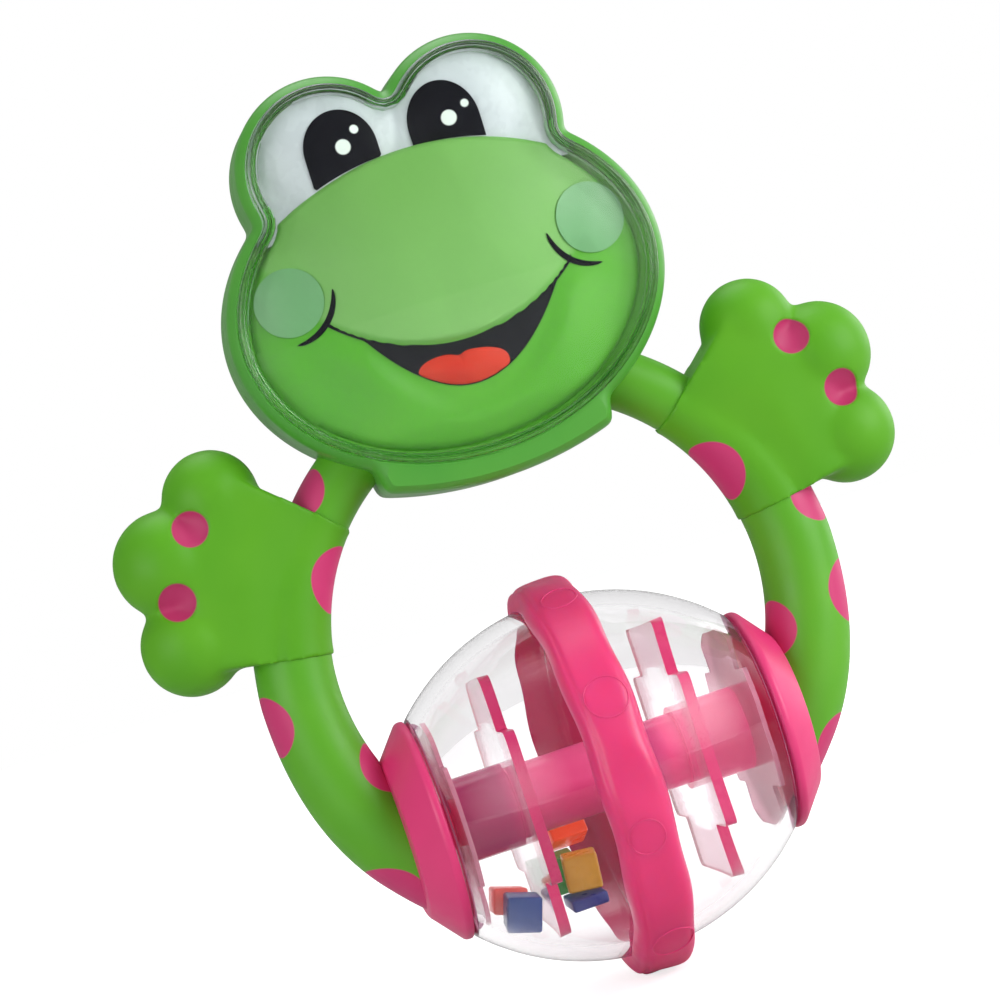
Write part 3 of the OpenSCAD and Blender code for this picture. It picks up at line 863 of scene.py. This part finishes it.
def buildMouth():
    bm = bmesh.new()
    addStrip(bm, mouthShape["columns"], mouthShape["rows"], mouthPlace)
    for side in (-1, 1):
        addStrip(bm, mouthShape["creaseColumns"], mouthShape["creaseRows"], creasePlace(side))
    grown = bmesh.ops.extrude_face_region(bm, geom=bm.faces[:])["geom"]
    bmesh.ops.translate(bm, vec=(0, mouthShape["thick"], 0), verts=onlyVerts(grown))
    material = mouldedFinish("mouthBlack", blackLook)
    return makePiece("mouth_smile", bm, "mouth", "frame", material, mouthShape["sharp"])


def tongueReach(angle):
    goX, goZ = math.cos(angle), math.sin(angle)
    turned, square = angle - math.radians(tongueShape["tilt"]), tongueShape["square"]
    wide = abs(math.cos(turned) / tongueShape["halfWidth"]) ** square
    far = (wide + abs(math.sin(turned) / tongueShape["rise"]) ** square) ** (-1 / square)
    fromDent = (angle - tongueShape["dentAngle"]) / tongueShape["dentWidth"]
    far *= 1 - tongueShape["dent"] * math.exp(-fromDent ** 2)
    # stays above the lower lip
    midX, midZ = tongueShape["middle"]
    for _ in range(tongueShape["tries"]):
        if midZ + far * goZ < jawLine(midX + far * goX) + tongueShape["jawGap"]:
            far *= tongueShape["shrink"]
    return far


def buildTongue():
    buildPatch("tongue_lobes", "tongue", mouldedFinish("tongueRed", redLook),
               tongueShape["middle"], tongueReach, mouthFloor, tongueShape["lift"], tongueShape["crown"])


def buildCheek(side, node):
    midX, midZ, radius = cheeks[side]
    buildPatch(node + "_button", node, mouldedFinish(node + "Pale", cheekLook), (midX, midZ),
               lambda angle: radius, plateDepth, cheekShape["lift"], cheekShape["crown"])


buildMouth()
buildTongue()
buildCheek(-1, "cheek_left")
buildCheek(1, "cheek_right")
print("face made")

# Ball and collars: everything is spun about the axle

ballShape = {
    "axleZ": -26.8814, "radius": 30.2, "halfLength": 28, "endRadius": 18.5, "wall": 2.4, "seam": 0.03,
    "rows": 28, "edge": 0.4, "edgeAngle": 40, "shadePaintedStretch": 0.35, "steps": 128, "sharp": 50,
}
collarShape = {
    "inner": 28.35, "outer": 34.2, "rim": 18.7, "rimWidth": 1.3, "neck": 13.2, "axle": 4, "axleLength": 9,
    "edge": 0.45, "edgeAngle": 25,
}
edgeSegments = 3
weldGap = 1e-4
barrelDrop = ballShape["radius"] - ballShape["endRadius"]
barrelRadius = (ballShape["halfLength"] ** 2 + barrelDrop ** 2) / (2 * barrelDrop)
pinkLook = {"colour": (0.840, 0.048, 0.210), "shade": (0.780, 0.042, 0.190), "rough": 0.38}
ballLook = {
    "colour": (0.945, 0.94, 0.945), "shade": (0.93, 0.92, 0.93), "rough": 0.02, "spread": 0.012, "clear": 1,
    "ior": 1.27, "skin": 0.02, "grain": 400, "passes": (0.96, 0.96, 0.97),
}
# Painted shade and a painted view of the collar, for the last stretch of clear wall
wallEndShadePaint = {
    "colour": (0.50, 0.20, 0.32), "shade": (0.44, 0.16, 0.27), "rough": 0.1, "clear": 0.5, "ior": 1.22,
    "skin": 0.04, "passes": (0.9, 0.7, 0.78),
}


def barrelAt(x, inset=0):
    return ballShape["radius"] - barrelRadius + math.sqrt((barrelRadius - inset) ** 2 - x * x)


# Spins a closed outline of (along, radius) points about the axle
def spinOutline(bm, points, steps):
    verts = [bm.verts.new((along, 0, radius)) for along, radius in points]
    edges = [bm.edges.new((verts[i], verts[(i + 1) % len(verts)])) for i in range(len(verts))]
    bmesh.ops.spin(bm, geom=verts + edges, cent=(0, 0, 0), axis=(1, 0, 0), angle=2 * math.pi, steps=steps,
                   use_merge=True)
    bmesh.ops.remove_doubles(bm, verts=bm.verts, dist=weldGap)
    bmesh.ops.recalc_face_normals(bm, faces=bm.faces)


def roundEdges(bm, edges, width):
    bmesh.ops.bevel(bm, geom=edges, offset=width, segments=edgeSegments, profile=0.5, affect="EDGES",
                    material=-1)


# Rounds the edges that are sharper than the shape's edge angle
def softenEdges(bm, look):
    least = math.radians(look["edgeAngle"])
    edges = [edge for edge in bm.edges if edge.is_manifold and edge.calc_face_angle(0) > least]
    roundEdges(bm, edges, look["edge"])


def toAxle(bm, side):
    bmesh.ops.scale(bm, vec=(side, 1, 1), verts=bm.verts)
    bmesh.ops.translate(bm, vec=(0, 0, ballShape["axleZ"]), verts=bm.verts)


def buildCollar(side, node):
    bm = bmesh.new()
    low, high, rim, axle = (collarShape[key] for key in ("inner", "outer", "rim", "axle"))
    tip = low - collarShape["axleLength"]
    spinOutline(bm, [(tip, 0), (tip, axle), (low, axle), (low, rim), (low + collarShape["rimWidth"], rim),
                     (high, collarShape["neck"]), (high, 0)], ballShape["steps"])
    softenEdges(bm, collarShape)
    toAxle(bm, side)
    return makePiece(node + "_cone", bm, node, "frame", mouldedFinish(node + "Pink", pinkLook))


def buildBallHalf(side, node):
    bm = bmesh.new()
    end, rows, seam = ballShape["halfLength"], ballShape["rows"], ballShape["seam"]
    along = [seam + (end - seam) * i / rows for i in range(rows + 1)]
    outer = [(x, barrelAt(x)) for x in along]
    inner = [(x, barrelAt(x, ballShape["wall"])) for x in reversed(along)]
    spinOutline(bm, outer + inner, ballShape["steps"])
    softenEdges(bm, ballShape)
    # The last stretch of wall is painted dark mauve: painted shade at the join and a painted view of the pink
    # collar through the wall
    for face in bm.faces:
        face.material_index = 1 if face.calc_center_median().x > end - ballShape["shadePaintedStretch"] else 0
    toAxle(bm, side)
    material = clearFinish(node + "Clear", ballLook)
    piece = makePiece(node + "_clear", bm, node, "ball", material, ballShape["sharp"])
    piece.data.materials.append(clearFinish(node + "End", wallEndShadePaint))
    return piece


# Soft band with wavy edges, low lumps and thin raised circles

bandShape = {
    "halfWidth": 5.15, "height": 3.5, "crown": 1.5, "overBall": 0.06, "columns": 48, "underColumns": 8,
    "steps": 192, "wave": 0.2, "waves": 11, "waveLag": 1.3, "sharp": 50,
    "lump": 0.16, "lumps": 9, "lumpDrift": 2, "drifts": 4, "lumpSlant": 0.5, "lumpFrom": 1,
    # Roll along the left edge, with a groove beside it: place and width
    "roll": 0.14, "rollAt": (-4.5, 0.5), "groove": 1.3, "grooveAt": (-3.6, 0.35),
    "circles": 9, "circleRadius": 3.6, "smallShare": 0.82, "circleTurn": 0.35, "cord": 0.14, "cordSink": 0.02,
    "circleShifts": (-0.4, 0.5, 0.5), "cordSides": 8, "cordSteps": 48,
}
bandLook = {
    "colour": (0.840, 0.048, 0.205), "shade": (0.780, 0.043, 0.190), "rough": 0.34, "skin": 0.2,
    "grain": 1200, "soft": 0.5, "depth": (5, 0.8, 1.5),
}


def bell(x, place):
    return math.exp(-((x - place[0]) / place[1]) ** 2)


def bandAt(x):
    share = x / bandShape["halfWidth"]
    roll = bell(x, bandShape["rollAt"]) - bandShape["groove"] * bell(x, bandShape["grooveAt"])
    top = ballShape["radius"] + bandShape["height"]
    return top - bandShape["crown"] * share ** 4 + bandShape["roll"] * roll


def bandLump(turn, x):
    drift = bandShape["lumpDrift"] * math.sin(bandShape["drifts"] * turn)
    return bandShape["lump"] * math.sin(bandShape["lumps"] * turn + drift + bandShape["lumpSlant"] * x)


def addCircle(bm, number):
    turn = 2 * math.pi * (number + bandShape["circleTurn"]) / bandShape["circles"]
    radius = bandShape["circleRadius"] * (1 if number % 2 else bandShape["smallShare"])
    verts = bmesh.ops.create_circle(bm, segments=bandShape["cordSides"], radius=bandShape["cord"])["verts"]
    bmesh.ops.rotate(bm, cent=(0, 0, 0), matrix=Matrix.Rotation(math.pi / 2, 3, "X"), verts=verts)
    bmesh.ops.translate(bm, vec=(radius, 0, 0), verts=verts)
    edges = list({edge for vert in verts for edge in vert.link_edges})
    before, faces = set(bm.verts) - set(verts), set(bm.faces)
    bmesh.ops.spin(bm, geom=verts + edges, cent=(0, 0, 0), axis=(0, 0, 1), angle=2 * math.pi,
                   steps=bandShape["cordSteps"], use_merge=True)
    for face in set(bm.faces) - faces:
        face.material_index = 1
    for vert in set(bm.verts) - before:
        x = vert.co.x + bandShape["circleShifts"][number % 3]
        angle = turn + vert.co.y / bandAt(0)
        far = bandAt(x) - bandShape["cordSink"] + vert.co.z + bandLump(angle, x)
        vert.co = (x, far * math.sin(angle), far * math.cos(angle))


def buildBand():
    bm = bmesh.new()
    wide, columns, underColumns = bandShape["halfWidth"], bandShape["columns"], bandShape["underColumns"]
    top = []
    for step in range(columns + 1):
        share = math.sin(math.pi * (step / columns - 0.5))
        low = barrelAt(wide * share) + bandShape["overBall"]
        top.append((wide * share, low + (bandAt(wide * share) - low) * (1 - share ** 10) ** 0.5))
    along = [wide * (1 - 2 * i / underColumns) for i in range(1, underColumns)]
    spinOutline(bm, top + [(x, barrelAt(x) + bandShape["overBall"]) for x in along], bandShape["steps"])
    for vert in bm.verts:
        turn = math.atan2(vert.co.y, vert.co.z)
        share = abs(vert.co.x) / wide
        lag = bandShape["waveLag"] if vert.co.x > 0 else 0
        vert.co.x *= 1 + bandShape["wave"] / wide * share * math.sin(bandShape["waves"] * turn + lag)
        far = math.hypot(vert.co.y, vert.co.z)
        if far > barrelAt(vert.co.x) + bandShape["lumpFrom"]:
            grow = 1 + bandLump(turn, vert.co.x) / far
            vert.co.y, vert.co.z = vert.co.y * grow, vert.co.z * grow
    for number in range(bandShape["circles"]):
        addCircle(bm, number)
    toAxle(bm, 1)
    material = mouldedFinish("bandPink", bandLook)
    piece = makePiece("ball_band_soft", bm, "ball_band", "ball", material, bandShape["sharp"])
    piece.data.materials.append(mouldedFinish("bandCircles", pinkLook))
    return piece


# Spool: a stepped tube with a divider disc and an end plate on each half

spoolShape = {
    "bore": 5.25, "midTube": 6.1, "endTube": 7.1, "steps": 96, "seam": 0.03, "endGap": 0.05, "points": 360,
    "plateGap": 0.1, "round": 2, "plateRings": (0.97, 0.85, 0.7, 0.55, 0), "ringStep": 1e-3,
    "tubeMaterial": 2, "sharp": 40,
}
# The last three keys name materials of the spool by number
dividers = {
    "disc": {"x": 14.6, "thick": 1.8, "radius": 24.2, "lobe": 12.6, "end": 21.4,
             "rim": 0, "face": 1, "outer": 4},
    "endPlate": {"x": 25.2, "thick": 0.7, "radius": 17.5, "lobe": 9.8, "end": 17,
                 "rim": 3, "face": 3, "outer": 3},
}
rimLook = {
    "colour": (0.84, 0.045, 0.20), "shade": (0.78, 0.040, 0.18), "rough": 0.3, "skin": 0.05, "ior": 1.35,
}
sheerLook = {
    "colour": (0.985, 0.95, 0.965), "shade": (0.97, 0.91, 0.935), "rough": 0.06, "clear": 1, "ior": 1.15,
    "skin": 0.05, "passes": (0.97, 0.92, 0.94),
}
tubeLook = {
    "colour": (0.84, 0.13, 0.32), "shade": (0.74, 0.09, 0.26), "rough": 0.16, "clear": 0.3, "ior": 1.3,
    "skin": 0.05, "passes": (0.94, 0.68, 0.76), "cloud": 110,
}
plateSheer = {
    "colour": (0.93, 0.50, 0.62), "shade": (0.88, 0.42, 0.55), "rough": 0.12, "clear": 0.6, "ior": 1.15,
    "skin": 0.05, "passes": (0.95, 0.78, 0.84),
}
lobeSheer = {
    "colour": (0.95, 0.72, 0.79), "shade": (0.92, 0.66, 0.74), "rough": 0.08, "clear": 0.85, "ior": 1.15,
    "skin": 0.05, "passes": (0.96, 0.86, 0.90),
}
# Painted shade: deeper pink below the axle and darker pink along a stretch of each half; the painted glow is
# stronger on the right half, which lies in the collar's shadow
tubeShadePaint = {
    "under": (0.62, 0.026, 0.15), "underFrom": 1, "underTo": -2, "underShare": 0.8,
    "dark": (0.34, 0.034, 0.14), "darkens": {-1: (-13, -17), 1: (11.5, 9)}, "darkShare": 0.75,
    "glow": {-1: 0.08, 1: 0.3},
}


# A cross of two bars inside a circle
def lobedReach(angle, look):
    narrow, wide = sorted((abs(math.cos(angle)), abs(math.sin(angle))))
    return min(look["radius"], look["end"] / wide, look["lobe"] / max(narrow, tiny))


# Plate in the shape of that cross, with a bore for the tube
def dividerMesh(name, look):
    bm = bmesh.new()
    rim = bmesh.ops.create_circle(bm, cap_ends=True, segments=spoolShape["points"], radius=1)["verts"]
    for vert in rim:
        angle = math.atan2(vert.co.y, vert.co.x)
        far = lobedReach(angle, look)
        vert.co = (far * math.cos(angle), far * math.sin(angle), 0)
    relax(bm, rim, spoolShape["round"])
    bm.normal_update()
    middle = rim[0].link_faces[0]
    inside = spoolShape["bore"] + spoolShape["plateGap"]
    for share in spoolShape["plateRings"]:
        bmesh.ops.inset_region(bm, faces=[middle], thickness=spoolShape["ringStep"], use_even_offset=True,
                               use_boundary=True)
        for vert in middle.verts:
            angle = math.atan2(vert.co.y, vert.co.x)
            far = inside + share * (lobedReach(angle, look) - inside)
            vert.co = (far * math.cos(angle), far * math.sin(angle), 0)
    bmesh.ops.delete(bm, geom=[middle], context="FACES_ONLY")
    grown = bmesh.ops.extrude_face_region(bm, geom=bm.faces[:])["geom"]
    bmesh.ops.translate(bm, vec=(0, 0, look["thick"]), verts=onlyVerts(grown))
    bmesh.ops.rotate(bm, cent=(0, 0, 0), matrix=Matrix.Rotation(math.pi / 2, 3, "Y"), verts=bm.verts)
    bmesh.ops.translate(bm, vec=(look["x"] - look["thick"] / 2, 0, 0), verts=bm.verts)
    bm.normal_update()
    for face in bm.faces:
        place = face.calc_center_median()
        part = "outer" if max(abs(place.y), abs(place.z)) > look["lobe"] else "face"
        face.material_index = look[part] if abs(face.normal.x) > 0.5 else look["rim"]
    mesh = bpy.data.meshes.new(name)
    bm.to_mesh(mesh)
    bm.free()
    return mesh


# Paints shade onto the tube, deeper pink below the axle and darker along a stretch, and gives it a painted
# glow
def paintTubeShade(material, side):
    tree = material.node_tree
    place = splitPlace(tree, objectPlace(tree))
    start, full = ((ballShape["axleZ"] + tubeShadePaint[key]) * mm for key in ("underFrom", "underTo"))
    paintOver(material, remap(tree, place["Z"], start, full, 0, tubeShadePaint["underShare"]), tubeShadePaint["under"])
    start, full = (x * mm for x in tubeShadePaint["darkens"][side])
    paintOver(material, remap(tree, place["X"], start, full, 0, tubeShadePaint["darkShare"]), tubeShadePaint["dark"])
    paintedGlow(material, tubeLook["colour"], tubeShadePaint["glow"][side])


def buildSpool(side, node):
    bm = bmesh.new()
    start, step = spoolShape["seam"], dividers["disc"]["x"]
    end = ballShape["halfLength"] - ballShape["wall"] - spoolShape["endGap"]
    bore, mid, wide = spoolShape["bore"], spoolShape["midTube"], spoolShape["endTube"]
    spinOutline(bm, [(start, bore), (start, mid), (step, mid), (step, wide), (end, wide), (end, bore)],
                spoolShape["steps"])
    for face in bm.faces:
        face.material_index = spoolShape["tubeMaterial"]
    for name, look in dividers.items():
        bm.from_mesh(dividerMesh(node + name, look))
    toAxle(bm, side)
    material = mouldedFinish(node + "Pink", rimLook)
    piece = makePiece(node + "_lobed", bm, node, "ball", material, spoolShape["sharp"])
    for name, look in (("Sheer", sheerLook), ("Tube", tubeLook), ("Plate", plateSheer), ("Lobe", lobeSheer)):
        piece.data.materials.append(clearFinish(node + name, look))
    paintTubeShade(piece.data.materials[spoolShape["tubeMaterial"]], side)
    return piece


# Loose blocks: body, place from the axle, turns, shares of the size, colour and painted glow, which lifts
# blocks that lie in shade inside the ball

blockShape = {"size": 6.4, "edge": 0.45, "shade": 0.85}
blockLook = {"rough": 0.3, "cloud": 200, "skin": 0.06}
blocks = {
    "bead_yellow": ("block_yellow", (-6.9, 6.7, -14.75), (4, 5, -6), (0.92, 1, 0.95),
                    (0.64, 0.35, 0.025), 0.1),
    "bead_orange": ("block_orange", (-6.4, 16.0, -7.3), (-20, 0, 5), (1, 1, 1), (0.90, 0.08, 0.015), 0.4),
    "bead_green": ("block_green", (-9.8, 14.2, -14.8), (8, 0, 0), (1, 1, 1), (0.05, 0.24, 0.05), 0.4),
    "bead_navy": ("block_navy", (-7.7, 6.0, -19.5), (8, 0, 4), (1, 1, 1 / 3), (0.025, 0.04, 0.24), 0.1),
    "bead_red": ("block_red", (-20.4, 4.9, -15.5), (0, 18, 3), (0.9, 0.9, 0.72), (0.60, 0.09, 0.075), 0.45),
    "bead_blue": ("block_blue", (-19.3, -1.7, -17.2), (4, 18, 0), (0.9, 1, 0.9), (0.032, 0.085, 0.29), 0.1),
}


def buildBlock(node, body, place, turns, shares, colour, glow):
    bm = bmesh.new()
    bmesh.ops.create_cube(bm, size=blockShape["size"])
    bmesh.ops.scale(bm, vec=shares, verts=bm.verts)
    roundEdges(bm, bm.edges[:], blockShape["edge"])
    for axis, turn in zip("XYZ", turns):
        matrix = Matrix.Rotation(math.radians(turn), 3, axis)
        bmesh.ops.rotate(bm, cent=(0, 0, 0), matrix=matrix, verts=bm.verts)
    bmesh.ops.translate(bm, vec=(place[0], place[1], place[2] + ballShape["axleZ"]), verts=bm.verts)
    shade = tuple(blockShape["shade"] * part for part in colour)
    material = mouldedFinish(node + "Gloss", {**blockLook, "colour": colour, "shade": shade})
    # Painted glow that lifts the block out of the shade inside the ball
    paintedGlow(material, colour, glow)
    makePiece(node + "_block", bm, node, body, material)


for side, name in ((-1, "left"), (1, "right")):
    buildCollar(side, "collar_" + name)
    buildBallHalf(side, "ball_half_" + name)
    buildSpool(side, "spool_" + name)
buildBand()
for node, facts in blocks.items():
    buildBlock(node, *facts)
print("ball made")

# Studio: white floor and world, soft lamps, camera

cameraLook = {
    "azimuth": -8, "roll": 18.0, "distance": 650, "target": (-1.6, 0, 21.4), "across": 165.3, "sensor": 36,
    "clip": 10,
}


def addCamera():
    turn, roll = math.radians(cameraLook["azimuth"]), math.radians(cameraLook["roll"])
    ahead = Vector((-math.sin(turn), math.cos(turn), 0))
    beside = Vector((math.cos(turn), math.sin(turn), 0))
    upward = Vector((0, 0, 1))
    right = math.cos(roll) * beside - math.sin(roll) * upward
    top = math.sin(roll) * beside + math.cos(roll) * upward
    lens = bpy.data.cameras.new("studioCamera")
    lens.sensor_width = cameraLook["sensor"]
    lens.lens = cameraLook["sensor"] * cameraLook["distance"] / cameraLook["across"]
    lens.clip_start = cameraLook["clip"] * mm
    holder = bpy.data.objects.new("studioCamera", lens)
    scene.collection.objects.link(holder)
    place = (Vector(cameraLook["target"]) - cameraLook["distance"] * ahead) * mm
    holder.matrix_world = Matrix.Translation(place) @ Matrix((right, top, -ahead)).transposed().to_4x4()
    scene.camera = holder


lamps = {
    "keyLamp": {"place": (740, -480, 240), "size": 1000, "power": 7.0},
    "fillLamp": {"place": (-560, -520, 130), "size": 900, "power": 3.0},
    "topLamp": {"place": (60, 150, 750), "size": 900, "power": 2.7},
    "rimLamp": {"place": (640, 380, 140), "size": 700, "power": 1.6},
}
lampShape = {"aim": (0, 0, 15), "middle": (0.5, 0.5, 0), "brightTo": 0.1, "darkFrom": 0.5, "strength": 2.4}


# A round lamp with a bright middle and a soft edge
def addLamp(name, look):
    light = bpy.data.lights.new(name, "AREA")
    light.shape = "DISK"
    light.size = look["size"] * mm
    light.energy = look["power"]
    light.use_nodes = True
    tree = light.node_tree
    onLamp = tree.nodes.new("ShaderNodeNewGeometry").outputs["Parametric"]
    gap = vectorMath(tree, "DISTANCE", onLamp, lampShape["middle"])["Value"]
    bright = remap(tree, gap, lampShape["brightTo"], lampShape["darkFrom"], lampShape["strength"], 0)
    wire(tree, bright, tree.nodes["Emission"].inputs["Strength"])
    holder = bpy.data.objects.new(name, light)
    scene.collection.objects.link(holder)
    place = Vector(look["place"])
    holder.location = place * mm
    holder.rotation_euler = (Vector(lampShape["aim"]) - place).to_track_quat("-Z", "Y").to_euler()


# 1 for rays that came through clear pieces without meeting a dull one
def seenThrough(tree, path):
    undulled = remap(tree, path.outputs["Diffuse Depth"], 0, 1, 1, 0)
    return combine(tree, "MULTIPLY", path.outputs["Is Transmission Ray"], undulled)


worldLook = {"light": 0.28, "backdropFrom": -0.1, "backdropFull": 0.4}


# White for the camera; through clear pieces a bright backdrop shows behind the object, with grey beside it
def addWorld():
    world = bpy.data.worlds.new("studioWorld")
    scene.world = world
    world.use_nodes = True
    tree = world.node_tree
    sky = tree.nodes["Background"]
    sky.inputs["Color"].default_value = (1, 1, 1, 1)
    path = tree.nodes.new("ShaderNodeLightPath")
    depth = splitPlace(tree, tree.nodes.new("ShaderNodeTexCoord").outputs["Generated"])["Y"]
    backdrop = remap(tree, depth, worldLook["backdropFrom"], worldLook["backdropFull"], 0, 1)
    seen = combine(tree, "MULTIPLY", seenThrough(tree, path), backdrop)
    seen = combine(tree, "MAXIMUM", seen, path.outputs["Is Camera Ray"])
    wire(tree, remap(tree, seen, 0, 1, worldLook["light"], 1), sky.inputs["Strength"])


# Metres; the floor glows white to the camera, a little less near the object so that its shadow shows
floorLook = {
    "radius": 2.5, "points": 96, "below": 0.0002, "grey": 0.6, "rough": 0.8,
    "nearGlow": 0.74, "glowFrom": 0.12, "glowFull": 0.45,
}


def addFloor():
    bm = bmesh.new()
    bmesh.ops.create_circle(bm, cap_ends=True, segments=floorLook["points"], radius=floorLook["radius"])
    bmesh.ops.translate(bm, vec=(0, 0, cadBox[0].z - floorLook["below"]), verts=bm.verts)
    mesh = bpy.data.meshes.new("floor")
    bm.to_mesh(mesh)
    bm.free()
    floor = bpy.data.objects.new("floor", mesh)
    scene.collection.objects.link(floor)
    material = bpy.data.materials.new("floorWhite")
    material.use_nodes = True
    tree = material.node_tree
    shader = tree.nodes["Principled BSDF"]
    shader.inputs["Base Color"].default_value = (floorLook["grey"], floorLook["grey"], floorLook["grey"], 1)
    shader.inputs["Roughness"].default_value = floorLook["rough"]
    shader.inputs["Emission Color"].default_value = (1, 1, 1, 1)
    path = tree.nodes.new("ShaderNodeLightPath")
    seen = combine(tree, "MAXIMUM", path.outputs["Is Camera Ray"], seenThrough(tree, path))
    far = vectorMath(tree, "LENGTH", objectPlace(tree))["Value"]
    glow = remap(tree, far, floorLook["glowFrom"], floorLook["glowFull"], floorLook["nearGlow"], 1)
    wire(tree, combine(tree, "MULTIPLY", seen, glow), shader.inputs["Emission Strength"])
    mesh.materials.append(material)


addCamera()
for name, look in lamps.items():
    addLamp(name, look)
addWorld()
addFloor()
scene.view_settings.view_transform = "Standard"
print("studio made")
